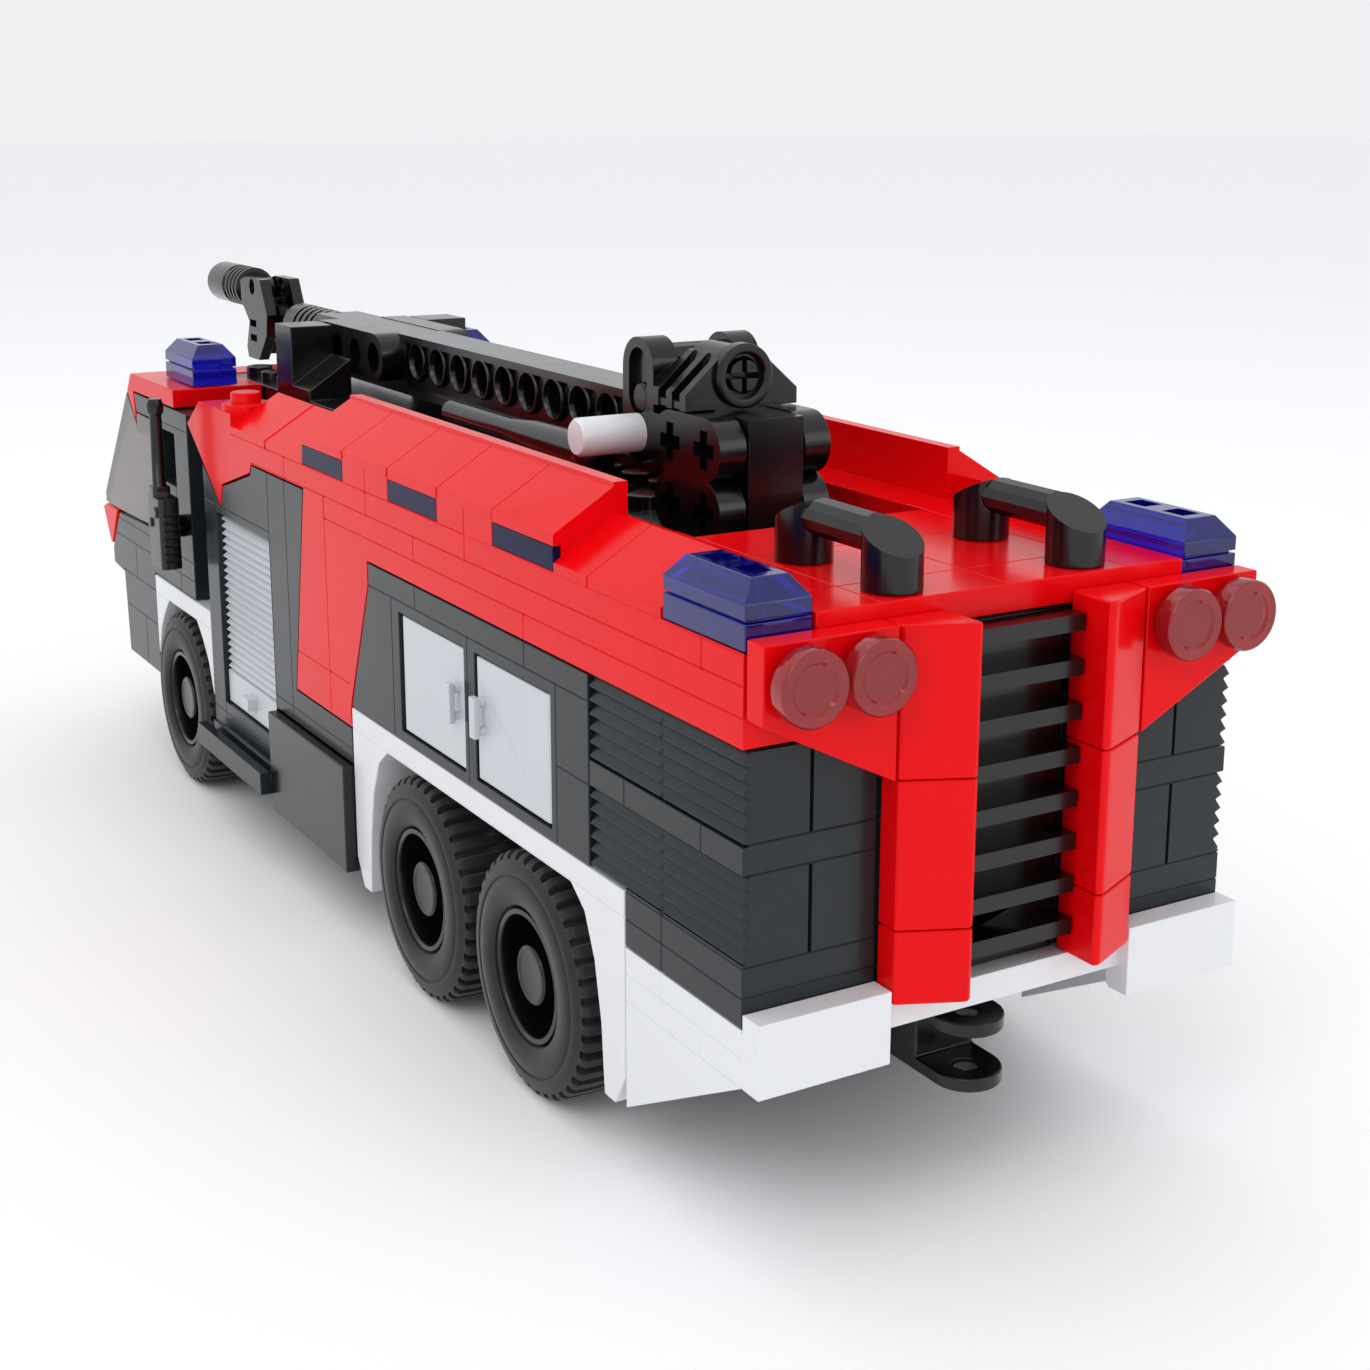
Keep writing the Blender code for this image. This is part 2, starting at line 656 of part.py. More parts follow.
def add_cupboards():
    low = HALF_WIDTH - SIDE_THICKNESS + HALF_FIT
    back = HALF_WIDTH - CUPBOARD_DEPTH + HALF_FIT
    front_x = CUPBOARD_REAR_X + 2 * CUPBOARD_LENGTH
    outline = [
        (LOUVRE_LENGTH + HALF_FIT, -HALF_FIT),
        (front_x + STUD - HALF_FIT, -HALF_FIT),
        (front_x + STUD - HALF_FIT, -PLATE),
        (front_x + 2 * STUD - HALF_FIT - 0.2, BELT_TOP + HALF_FIT),
        (LOUVRE_LENGTH + HALF_FIT, BELT_TOP + HALF_FIT),
    ]
    frame = prism(outline, "Y", low, HALF_WIDTH)
    boxes = box(CUPBOARD_REAR_X, front_x, back, low + 0.5, BELT_TOP + HALF_FIT, -HALF_FIT)
    door_low = DOOR_TOP - DOOR_HEIGHT
    rooms = []
    doors = []
    for name, rear_edge, hinge_first in (
        ("rear", CUPBOARD_REAR_X + 1.7, True),
        ("front", CUPBOARD_REAR_X + CUPBOARD_LENGTH + 1.4, False),
    ):
        front_edge = rear_edge + DOOR_LENGTH
        rooms.append(
            box(
                rear_edge - DOOR_PLAY,
                front_edge + DOOR_PLAY,
                back + CUPBOARD_WALL,
                HALF_WIDTH + 1,
                door_low - DOOR_PLAY,
                DOOR_TOP + DOOR_PLAY,
            )
        )
        doors.append((name, rear_edge, front_edge, hinge_first))
    pair("cupboard_frame", cut(added(frame, boxes), *rooms), DARK)
    for name, rear_edge, front_edge, hinge_first in doors:
        add_cupboard_door(name, rear_edge, front_edge, hinge_first)


def add_cupboard_door(name, rear_edge, front_edge, hinge_first):
    """A door whose hinge edge is round about its pin, with a bar handle by the other edge."""
    face = HALF_WIDTH - DOOR_SETBACK
    radius = DOOR_THICKNESS / 2
    axis_y = face - radius
    way = 1 if hinge_first else -1
    hinge_x = (rear_edge if hinge_first else front_edge) + way * radius
    free_x = front_edge if hinge_first else rear_edge
    low = DOOR_TOP - DOOR_HEIGHT
    outline = [(free_x, axis_y - radius), (free_x, axis_y + radius), (hinge_x, axis_y + radius)]
    for i in range(1, SMALL_STEPS):
        angle = math.pi / 2 + way * math.pi * i / SMALL_STEPS
        outline.append((hinge_x + radius * math.cos(angle), axis_y + radius * math.sin(angle)))
    outline.append((hinge_x, axis_y - radius))
    slab = prism(outline, "Z", low, DOOR_TOP)
    handle_x = free_x - way * 1.7
    middle = DOOR_TOP - DOOR_HEIGHT / 2
    half = DOOR_HANDLE_HEIGHT / 2
    grip = box(
        handle_x - 0.6,
        handle_x + 0.6,
        face + DOOR_HANDLE_PROUD - 0.9,
        face + DOOR_HANDLE_PROUD,
        middle - half,
        middle + half,
    )
    feet = [
        box(handle_x - 0.6, handle_x + 0.6, face - 0.4, face + DOOR_HANDLE_PROUD - 0.5, z - 0.6, z + 0.6)
        for z in (middle - half + 0.6, middle + half - 0.6)
    ]
    pair("cupboard_door_" + name, added(slab, grip, *feet), LIGHT, (hinge_x, axis_y, middle))


def add_shutter_frames():
    low = HALF_WIDTH - SIDE_THICKNESS + HALF_FIT
    rear_x = ARCH_END_X + HALF_FIT
    front_x = BODY_LENGTH - HALF_FIT
    shoulder = BELT_BOTTOM - HALF_FIT
    outline = [
        (HIGH_SLOPE_END_X + FIT, 2 * PLATE - FIT - HALF_FIT),
        (CORNER_X - 1.2, 2 * PLATE - FIT - HALF_FIT),
        (CORNER_X - 0.2, CORNER_FOOT_Z - 0.4),
        (CORNER_X + 13.6, CORNER_FOOT_Z - 4.3),
        (CORNER_X + 14.8, CORNER_FOOT_Z - 8.2),
        (front_x, CORNER_FOOT_Z - 2.1),
        (front_x, FRAME_BOTTOM + 0.2),
        (rear_x, FRAME_BOTTOM + 0.2),
        (rear_x, shoulder),
        (HIGH_SLOPE_END_X + PANEL_RAKE + FIT, shoulder),
    ]
    frame = prism(outline, "Y", low, HALF_WIDTH)
    step_x = SHUTTER_BAY_X + HALF_FIT
    step = box(step_x, front_x, low, HALF_WIDTH + PLATE, FRAME_BOTTOM - PLATE, FRAME_BOTTOM + 0.4)
    groove_in = HALF_WIDTH + 0.4
    groove = box(step_x - 1, front_x + 1, groove_in, groove_in + 1.2, FRAME_BOTTOM - 1.2, FRAME_BOTTOM + 1)
    opening = box(
        SHUTTER_REAR_X - FIT,
        SHUTTER_REAR_X + SHUTTER_LENGTH + FIT,
        HALF_WIDTH - 3.6,
        HALF_WIDTH + 1,
        SHUTTER_TOP - SHUTTER_HEIGHT - FIT,
        SHUTTER_TOP + FIT,
    )
    seat = box(
        rear_x - 1,
        step_x,
        HALF_WIDTH - SKIRT_SINK - FIT,
        HALF_WIDTH + 1,
        FRAME_BOTTOM - 1,
        SKIRT_TOP + FIT,
    )
    pair("shutter_frame", cut(added(frame, step), groove, opening, seat), DARK)


def add_side_skirts():
    inner = HALF_WIDTH - SKIRT_SINK
    rear_x = ARCH_END_X + HALF_FIT
    front_x = SHUTTER_BAY_X - HALF_FIT
    skirt = box(rear_x, front_x, inner, inner + PLATE, SKIRT_TOP - SKIRT_HEIGHT, SKIRT_TOP)
    pair("side_skirt", skirt, BLACK)


def add_roller_shutters():
    root = HALF_WIDTH - SHUTTER_SETBACK - SHUTTER_RIB_PROUD
    tip = HALF_WIDTH - SHUTTER_SETBACK
    back = HALF_WIDTH - 3.6 + FIT
    low = SHUTTER_TOP - SHUTTER_HEIGHT
    ribs = SHUTTER_HEIGHT - SHUTTER_BOTTOM_RAIL
    outline = [(back, low), (back, SHUTTER_TOP)]
    outline += saw_edge(root, tip, SHUTTER_TOP, ribs, SHUTTER_RIBS)
    outline += [(tip, SHUTTER_TOP - ribs), (tip, low)]
    curtain = prism(outline, "X", SHUTTER_REAR_X, SHUTTER_REAR_X + SHUTTER_LENGTH)
    knob_x = SHUTTER_REAR_X + SHUTTER_LENGTH / 2
    knob_z = low + SHUTTER_BOTTOM_RAIL / 2
    knob = box(knob_x - 1.6, knob_x + 1.6, tip - 0.4, tip + 1.6, knob_z - 1.0, knob_z + 1.0)
    pair("roller_shutter", added(curtain, knob), LIGHT)


def add_arches():
    low = HALF_WIDTH - SIDE_THICKNESS + HALF_FIT
    top = BELT_TOP - HALF_FIT
    under = BELT_BOTTOM - HALF_FIT
    rear_x = ARCH_REAR_X + HALF_FIT
    front_x = ARCH_END_X - HALF_FIT
    foot = -15.2 * PLATE
    leg = ((12.7, 0.0), (9.4, -2.4), (7.1, -7.4), (5.6, -14.4), (4.9, foot - under))
    outline = [(front_x, top), (front_x, foot + 4.0), (front_x - 2.4, foot)]
    outline += [(front_x - reach, under + drop) for reach, drop in reversed(leg)]
    outline += [(rear_x + reach, under + drop) for reach, drop in leg]
    outline += [(rear_x + 2.4, foot), (rear_x, foot + 4.0), (rear_x, top)]
    pair("rear_arch", prism(outline, "Y", low, HALF_WIDTH), WHITE)

    half = 2 * STUD - HALF_FIT
    sweep = ((STUD, 0.0), (11.0, -2.7), (13.6, -5.9), (15.2, -9.9), (half, -11.4))
    outline = [(FRONT_WHEEL_X - half, top)]
    outline += [(FRONT_WHEEL_X - reach, under + drop) for reach, drop in reversed(sweep)]
    outline += [(FRONT_WHEEL_X + reach, under + drop) for reach, drop in sweep]
    outline += [(FRONT_WHEEL_X + half, top)]
    pair("front_arch", prism(outline, "Y", low, HALF_WIDTH), WHITE)


# ---------------------------------------------------------------- roof, boom and nozzle


def add_roof_platform():
    half = 2 * STUD - HALF_FIT
    inner = BOOM_HALF_WIDTH + ARM_THICKNESS + 0.7
    front_x = CORNER_X
    cab_end = DECK_END_X
    wide = HALF_WIDTH - SIDE_THICKNESS - HALF_FIT
    under_deck = BAND_TOP - HALF_FIT
    floor = box(4 * STUD, front_x + 1, -wide, wide, WELL_FLOOR - PLATE, WELL_FLOOR - HALF_FIT)
    step = box(front_x, cab_end, -half, half, BAND_TOP - 0.5, ROOF_EDGE - HALF_FIT)
    extras = [
        box(4 * STUD, 4.5 * STUD, -wide, wide, WELL_FLOOR - PLATE, under_deck),
        box(front_x, front_x + STUD / 2, -wide, wide, WELL_FLOOR - PLATE, under_deck),
        box(front_x, BODY_LENGTH - STUD, -wide, wide, BAND_TOP - 1.6, under_deck),
    ]
    for side in (1, -1):
        post = [(inner, ROOF_EDGE - 0.4), (half, ROOF_EDGE - 0.4), (half, BOOM_TOP), (inner, BOOM_TOP)]
        points = [(side * y, z) for y, z in post]
        extras.append(prism(points, "X", BODY_LENGTH + HALF_FIT, CAB_REAR_X - HALF_FIT))
        ramp = [
            (inner, ROOF_EDGE - 0.4),
            (half, ROOF_EDGE - 0.4),
            (half, ROOF_EDGE + SLOPE_LIP),
            (inner, ROOF_EDGE + 2 * PLATE),
        ]
        points = [(side * y, z) for y, z in ramp]
        extras.append(prism(points, "X", BODY_LENGTH - STUD + HALF_FIT, BODY_LENGTH + FIT))
    piece("roof_platform", added(floor, step, *extras), BLACK)


def add_turret():
    """The boom's stand: a block with round-ended arms on both sides, links and a ribbed bracket."""
    half = BOOM_HALF_WIDTH
    outer = half + ARM_THICKNESS
    stand_rear = BOOM_AXIS_X - 2.5 * STUD + HALF_FIT
    stand_front = stand_rear + 13.4
    floor = WELL_FLOOR + HALF_FIT
    arm_rear = BOOM_AXIS_X - 2 * STUD
    arm_front = BOOM_AXIS_X - STUD
    block = box(stand_rear, stand_front, -half, half, floor, BOOM_TOP)
    parts = []
    for z in (BOOM_AXIS_Z, BOOM_AXIS_Z - ARM_DROP):
        parts.append(stadium(arm_rear, arm_front, z, ARM_RADIUS, half + FIT, outer))
        parts.append(stadium(arm_rear, arm_front, z, ARM_RADIUS, -outer, -half - FIT))
        parts.append(box(arm_rear, arm_front, -half - 2 * FIT, half + 2 * FIT, z - 2.0, z + 2.0))
    bracket_z = BRACKET_Z
    rib = 1.4
    base_z = BOOM_TOP + FIT
    ridge = base_z + 2.0
    bracket_x = BOOM_AXIS_X - 1.5 * STUD
    for i in range(3):
        x = bracket_x + i * (STUD - rib) / 2
        outline = [
            (-STUD, base_z),
            (STUD, base_z),
            (STUD, ridge),
            (2.9, bracket_z + 2.6),
            (-2.9, bracket_z + 2.6),
            (-STUD, ridge),
        ]
        parts.append(prism(outline, "X", x, x + rib))
    plate_end = bracket_x + STUD - 0.2
    parts.append(box(bracket_x + 0.2, plate_end, 0.2 - STUD, STUD - 0.2, base_z + 0.1, base_z + 1.0))
    parts.append(box(bracket_x, stand_front, -half, half, BOOM_TOP - 0.4, base_z + 0.5))
    parts.append(rod(3.6, (0, 0, bracket_z), "X", bracket_x + 0.2, bracket_x + STUD - 0.2))
    link_top = LINK_TOP_Z
    link_low = BOOM_AXIS_Z
    for side in (1, -1):
        near = side * (half + FIT)
        far = side * outer
        y0 = min(near, far)
        y1 = max(near, far)
        outline = []
        for cz, start in ((link_top, 0.0), (link_low, math.pi)):
            for i in range(SMALL_STEPS + 1):
                angle = start + math.pi * i / SMALL_STEPS
                x = BOOM_AXIS_X + ARM_RADIUS * math.cos(angle)
                outline.append((x, cz + ARM_RADIUS * math.sin(angle)))
        parts.append(prism(outline, "Y", y0, y1))
    tube_centre = (BOOM_AXIS_X, 0, link_top)
    parts.append(rod(CROSS_TUBE_RADIUS, tube_centre, "Y", -outer + 1, outer - 1, SMALL_STEPS))
    parts.append(box(bracket_x + 7.0, BOOM_AXIS_X, -2.0, 2.0, bracket_z - 1.5, bracket_z + 1.5))
    foot_x = arm_front - 1.0
    foot_low = BOOM_AXIS_Z - 3.0
    foot_high = BOOM_AXIS_Z + 3.0
    parts.append(box(foot_x, foot_x + 7.0, half + FIT, outer, foot_low, foot_high))
    parts.append(box(foot_x, foot_x + 7.0, -outer, -half - FIT, foot_low, foot_high))
    shape = added(block, *parts)
    pin_centre = (BOOM_AXIS_X, 0, BOOM_AXIS_Z)
    pin = rod(PIVOT_PIN_RADIUS, pin_centre, "Y", 1 - outer, outer + PIVOT_PIN_PROUD, SMALL_STEPS)
    piece("boom_stand", added(shape, pin), BLACK)


def add_boom():
    rear_x = BOOM_AXIS_X - STUD / 2 + HALF_FIT
    front_x = BOOM_AXIS_X - STUD / 2 + BOOM_LENGTH
    half = BOOM_HALF_WIDTH
    outer = half + ARM_THICKNESS
    low = BOOM_TOP - BOOM_HEIGHT
    beam = box(rear_x, front_x, -half, half, low, BOOM_TOP)
    arm_x = 19 * STUD
    parts = [
        stadium(arm_x, arm_x + 3 * STUD, BOOM_AXIS_Z, ARM_RADIUS, half - 0.4, outer),
        stadium(arm_x, arm_x + 3 * STUD, BOOM_AXIS_Z, ARM_RADIUS, -outer, 0.4 - half),
        rod(HEAD_RADIUS, (0, 0, BOOM_AXIS_Z), "X", front_x - 0.5, front_x + HEAD_LENGTH),
    ]
    tongue = HEAD_TONGUE_HALF
    eye_low = BOOM_AXIS_Z - ELBOW_RADIUS
    eye_high = BOOM_AXIS_Z + ELBOW_RADIUS
    parts.append(box(front_x + HEAD_LENGTH - 1, ELBOW_X, -tongue, tongue, eye_low, eye_high))
    parts.append(rod(ELBOW_RADIUS, (ELBOW_X, 0, BOOM_AXIS_Z), "Y", -tongue, tongue, SMALL_STEPS))
    shape = added(beam, *parts)
    holes = []
    for i in range(1, int(BOOM_LENGTH / STUD) - 1):
        hole_x = BOOM_AXIS_X + i * STUD
        holes.append(rod(STUD_RADIUS, (hole_x, 0, BOOM_AXIS_Z), "Y", -STUD - 1, STUD + 1, SMALL_STEPS - 2))
    holes.append(rod(PIVOT_PIN_RADIUS + 0.3, (BOOM_AXIS_X, 0, BOOM_AXIS_Z), "Y", -STUD, STUD, SMALL_STEPS))
    pin_play = 0.3
    holes.append(rod(1.0 + pin_play, (ELBOW_X, 0, BOOM_AXIS_Z), "Y", -STUD, STUD, SMALL_STEPS - 4))
    axis = (BOOM_AXIS_X, 0, BOOM_AXIS_Z)
    piece("boom", cut(shape, *holes), BLACK, axis)


def add_nozzle_arm():
    """Two cheeks on the boom's tongue, joined by webs before it, that carry the nozzle between their tops."""
    cheek_in = HEAD_TONGUE_HALF + FIT
    cheek_out = ARM_HALF_WIDTH
    lean = math.tan(ARM_TILT)
    low = BOOM_AXIS_Z - ARM_LOW
    high = BOOM_AXIS_Z + ARM_HIGH
    low_x = ELBOW_X + 3.6 + ARM_LOW * lean
    high_x = ELBOW_X + 1.6 - ARM_HIGH * lean
    outline = [
        (low_x - 3.0, low),
        (low_x + 3.0, low),
        (low_x + 3.8, low + 2.0),
        (ELBOW_X + 7.0, BOOM_AXIS_Z - 1.0),
        (NOZZLE_AXIS_X + 2.0, NOZZLE_AXIS_Z - 2.2),
        (NOZZLE_AXIS_X + 2.2, NOZZLE_AXIS_Z + 2.0),
        (NOZZLE_AXIS_X - 1.0, high),
        (high_x, high),
        (ELBOW_X - 3.4, BOOM_AXIS_Z + 1.0),
        (ELBOW_X - 2.6, BOOM_AXIS_Z - 3.0),
    ]
    left = prism(outline, "Y", cheek_in, cheek_out)
    right = prism(outline, "Y", -cheek_out, -cheek_in)
    reach = cheek_out - 0.4
    web = box(ELBOW_X + 3.2, ELBOW_X + 5.6, -reach, reach, low + 1.0, BOOM_AXIS_Z + 3.6)
    pins = [
        rod(1.0, (ELBOW_X, 0, BOOM_AXIS_Z), "Y", -reach, reach, SMALL_STEPS - 4),
        rod(1.0, (NOZZLE_AXIS_X, 0, NOZZLE_AXIS_Z), "Y", -reach, reach, SMALL_STEPS - 4),
    ]
    piece("nozzle_arm", added(web, left, right, *pins), BLACK, (ELBOW_X, 0, BOOM_AXIS_Z))


def add_nozzle():
    barrel_x = NOZZLE_AXIS_X + NOZZLE_BACK
    mouth_x = NOZZLE_TIP_X - 5.0
    mouth_radius = NOZZLE_RADIUS - 1.3
    profile = [
        (0, barrel_x),
        (NOZZLE_RADIUS - 0.6, barrel_x),
        (NOZZLE_RADIUS, barrel_x + 0.8),
        (NOZZLE_RADIUS, barrel_x + 7.0),
        (NOZZLE_RADIUS - 0.5, barrel_x + 7.6),
        (NOZZLE_RADIUS - 0.5, barrel_x + 9.0),
        (NOZZLE_RADIUS, barrel_x + 9.6),
        (NOZZLE_RADIUS, NOZZLE_TIP_X),
        (mouth_radius, NOZZLE_TIP_X),
        (mouth_radius, mouth_x),
        (0, mouth_x),
    ]
    barrel = turned(profile, (0, 0, NOZZLE_AXIS_Z), "X")
    tongue = HEAD_TONGUE_HALF
    eye = 2.2
    neck = box(NOZZLE_AXIS_X, barrel_x + 0.5, -tongue, tongue, NOZZLE_AXIS_Z - eye, NOZZLE_AXIS_Z + eye)
    knuckle = rod(eye, (NOZZLE_AXIS_X, 0, NOZZLE_AXIS_Z), "Y", -tongue, tongue, SMALL_STEPS)
    hole = rod(1.0 + FIT, (NOZZLE_AXIS_X, 0, NOZZLE_AXIS_Z), "Y", -STUD, STUD, SMALL_STEPS - 4)
    piece("nozzle", cut(added(barrel, neck, knuckle), hole), BLACK, (NOZZLE_AXIS_X, 0, NOZZLE_AXIS_Z))


# ---------------------------------------------------------------- cab


def add_cab():
    """The hollow cab with its bench and dashboard, the roof, the windscreen and the front panel."""
    half = HALF_WIDTH - HALF_FIT
    header = BAND_TOP - HALF_FIT
    header_low = 6.2
    sill_z = -14.0
    floor_z = BELT_TOP + HALF_FIT
    chin_z = -22.5
    outline = [
        (CAB_REAR_X + HALF_FIT, header),
        (HEADER_X, header),
        (HEADER_X - 1.0, header_low),
        (SCREEN_SIDE_X, header_low),
        (SCREEN_SIDE_X, sill_z),
        (CHIN_X, sill_z - 1.0),
        (NOSE_X, chin_z),
        (NOSE_X, chin_z - 3.1),
        (BUMPER_X, chin_z - 3.7),
        (BUMPER_X - 1.0, FRAME_BOTTOM + 0.4),
        (DECK_END_X + HALF_FIT, FRAME_BOTTOM + 0.4),
        (DECK_END_X + HALF_FIT, floor_z),
        (CAB_REAR_X + HALF_FIT, floor_z),
    ]
    shell = prism(outline, "Y", -half, half)
    inner = half - CAB_WALL
    rear_in = CAB_REAR_X + CAB_WALL
    front_in = BUMPER_X - CAB_WALL
    room_low = BELT_TOP + CAB_WALL
    room = box(rear_in, front_in, -inner, inner, room_low, BRICK + STUD)
    window_x = CAB_REAR_X + 7.6
    window = box(window_x, window_x + 11.0, -HALF_WIDTH - 1, HALF_WIDTH + 1, -4.0, 5.2)
    under = box(DECK_END_X - 1, front_in, -inner, inner, FRAME_BOTTOM - 1, BELT_TOP - CAB_WALL)
    path_half = 2 * STUD + HALF_FIT
    path_low = BAND_TOP - 0.8
    path = box(CAB_REAR_X - 1, DECK_END_X + FIT, -path_half, path_half, path_low, STUD * 3)
    body = cut(shell, room, window, under, path)
    seat_end = inner - 4
    bench = box(rear_in - 0.5, rear_in + 6.0, -seat_end, seat_end, room_low - 0.5, -12.0)
    rest = box(rear_in - 0.5, rear_in + 2.2, -seat_end, seat_end, -12.5, 0.0)
    dash = box(CHIN_X - 10.0, front_in + 0.5, -inner - 0.5, inner + 0.5, room_low - 0.5, -16.0)
    piece("cab_body", added(body, bench, rest, dash), DARK)

    roof_low = BAND_TOP + HALF_FIT
    roof_outline = [
        (ROOF_REAR_X, roof_low),
        (HEADER_X + 0.4, roof_low),
        (HEADER_X - 0.4, 4.4),
        (SCREEN_TOP_X - 0.2, 9.4),
        (ROOF_FRONT_X, ROOF_EDGE),
        (ROOF_REAR_X, ROOF_EDGE),
    ]
    roof = prism(roof_outline, "Y", -half, half)
    notch = box(ROOF_REAR_X - 1, DECK_END_X + FIT, -path_half, path_half, 0, STUD * 3)
    piece("cab_roof", cut(roof, notch), RED)

    glass_low = sill_z + FIT + 0.1
    glass_top = header_low - FIT
    outer_glass = [
        (SCREEN_SIDE_X + FIT, glass_top),
        (HEADER_X - 1.0, glass_top),
        (HEADER_X - 0.8, 3.8),
        (SCREEN_TOP_X + 0.1, 9.0),
        (SCREEN_FOOT_X, SCREEN_FOOT_Z),
        (SCREEN_FOOT_X, glass_low - 0.7),
        (CHIN_X, glass_low - 0.7),
        (SCREEN_SIDE_X + FIT, glass_low),
    ]
    glass = prism(outer_glass, "Y", -half, half)
    wall = SCREEN_WALL
    foot_in = SCREEN_FOOT_X - wall * 1.4
    hollow_outline = [
        (SCREEN_SIDE_X - 1, 3.0),
        (HEADER_X, 2.2),
        (SCREEN_TOP_X - 0.4, 6.4),
        (foot_in, SCREEN_FOOT_Z - 0.2),
        (foot_in, glass_low - 3),
        (SCREEN_SIDE_X - 1, glass_low - 3),
    ]
    hollow = prism(hollow_outline, "Y", wall - half, half - wall)
    piece("windscreen", cut(glass, hollow), SMOKE)

    panel_top = glass_low - 1.1
    front_outline = [
        (CHIN_X + 1.4, panel_top),
        (SCREEN_FOOT_X, panel_top),
        (SCREEN_FOOT_X + 2.6, -15.6),
        (SCREEN_FOOT_X - 1.6, chin_z + 0.5),
        (NOSE_X + 0.4, chin_z + 0.5),
    ]
    piece("cab_front_panel", prism(front_outline, "Y", -half, half), RED)


def add_mirrors():
    x0 = CAB_REAR_X - 2.4
    y0 = HALF_WIDTH + 2.4
    housing = box(x0, x0 + 7.0, y0, y0 + 4.0, -16.0, -4.0)
    aerial = rod(1.2, (x0 + 4.4, y0 + 2.0, 0), "Z", -4.5, 12.4, SMALL_STEPS)
    stalk = rod(1.9, (x0 + 4.6, 0, -9.6), "Y", HALF_WIDTH + HALF_FIT, y0 + 0.5, SMALL_STEPS)
    pair("mirror", added(housing, aerial, stalk), BLACK)


def build():
    clear_scene()
    datum = bpy.data.objects.new("datum", None)
    bpy.context.collection.objects.link(datum)
    datum.location = Vector((DATUM_X, 0, DATUM_Z)) * MM
    add_wheels()
    add_axles()
    add_chassis()
    add_rear_bumper()
    add_tow_hitch()
    add_rear_grille()
    add_rear_pillars()
    add_rear_lamps()
    add_rear_corners()
    add_rear_deck()
    add_roof_handles()
    add_beacons()
    add_upper_sides()
    add_cupboards()
    add_shutter_frames()
    add_side_skirts()
    add_roller_shutters()
    add_arches()
    add_roof_platform()
    add_turret()
    add_boom()
    add_nozzle_arm()
    add_nozzle()
    add_cab()
    add_mirrors()


build()
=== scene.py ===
"""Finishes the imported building-brick airport fire truck: moulded bricks, tyres, lamps, boom and cab."""

import json
import logging
import math
from dataclasses import dataclass, field
from enum import Enum
from typing import Iterable, Sequence

import bmesh
import bpy
import numpy as np
from mathutils import Matrix, Vector

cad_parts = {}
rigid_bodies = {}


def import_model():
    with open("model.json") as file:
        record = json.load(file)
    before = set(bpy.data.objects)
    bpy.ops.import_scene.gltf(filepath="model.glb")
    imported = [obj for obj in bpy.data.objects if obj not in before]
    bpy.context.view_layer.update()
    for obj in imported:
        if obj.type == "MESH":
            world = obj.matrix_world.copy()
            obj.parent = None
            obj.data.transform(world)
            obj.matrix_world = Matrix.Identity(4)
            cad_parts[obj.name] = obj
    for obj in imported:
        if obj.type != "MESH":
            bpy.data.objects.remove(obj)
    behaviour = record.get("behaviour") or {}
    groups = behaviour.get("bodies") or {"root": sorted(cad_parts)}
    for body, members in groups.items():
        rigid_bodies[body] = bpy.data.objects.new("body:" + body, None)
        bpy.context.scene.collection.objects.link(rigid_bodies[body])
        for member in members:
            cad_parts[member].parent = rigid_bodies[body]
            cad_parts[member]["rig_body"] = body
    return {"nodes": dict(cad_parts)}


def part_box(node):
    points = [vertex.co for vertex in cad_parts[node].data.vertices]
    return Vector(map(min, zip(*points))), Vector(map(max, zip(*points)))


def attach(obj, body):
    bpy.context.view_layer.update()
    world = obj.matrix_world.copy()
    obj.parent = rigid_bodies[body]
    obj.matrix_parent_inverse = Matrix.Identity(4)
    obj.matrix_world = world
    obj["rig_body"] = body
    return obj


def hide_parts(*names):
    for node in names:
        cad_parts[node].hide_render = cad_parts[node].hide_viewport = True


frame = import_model()

LOG = logging.getLogger("fire_truck")
MM = 0.001
STUD = 8.0
PLATE = 3.2
BRICK = 3 * PLATE
STUD_RADIUS = 2.4
STUD_HEIGHT = 1.7
HALF_WIDTH = 4 * STUD
ROOF_EDGE = BRICK + PLATE
BELT_TOP = -7 * PLATE
BOOM_AXIS_X = 8 * STUD
BOOM_AXIS_Z = 20.2
SIDES = (("left", 1.0), ("right", -1.0))

Point = Sequence[float]


class Moulding(Enum):
    """How a plastic or rubber piece was made, which settles its surface."""

    POLISHED = "polished mould"
    CLEAR = "clear plastic"
    RUBBER = "soft rubber"


def hex_to_linear(colour: str) -> tuple[float, float, float, float]:
    """Turns an sRGB hex colour into the linear one that the shader takes.

    Args:
        colour: Six hex digits after a hash.

    Returns:
        Linear red, green, blue and an alpha of one.
    """
    parts = np.array([int(colour[i : i + 2], 16) for i in (1, 3, 5)]) / 255.0
    linear = np.where(parts <= 0.04045, parts / 12.92, ((parts + 0.055) / 1.055) ** 2.4)
    return (float(linear[0]), float(linear[1]), float(linear[2]), 1.0)


def per_metre(size_mm: float) -> float:
    """The texture scale whose pattern repeats about every size_mm."""
    return 1.0 / (size_mm * MM)


def add_node(
    tree: bpy.types.NodeTree, kind: str, inputs: dict | None = None, **settings: object
) -> bpy.types.Node:
    """Adds a node with its settings, its input values and its links.

    Args:
        tree: The tree that takes the node.
        kind: The node's Blender type.
        inputs: Input name or number to a value, or to an output socket that is linked to it.
        settings: The node's own properties.

    Returns:
        The new node.
    """
    made = tree.nodes.new(kind)
    for name, value in settings.items():
        setattr(made, name, value)
    for name, value in (inputs or {}).items():
        if isinstance(value, bpy.types.NodeSocket):
            tree.links.new(value, made.inputs[name])
        else:
            made.inputs[name].default_value = value
    return made


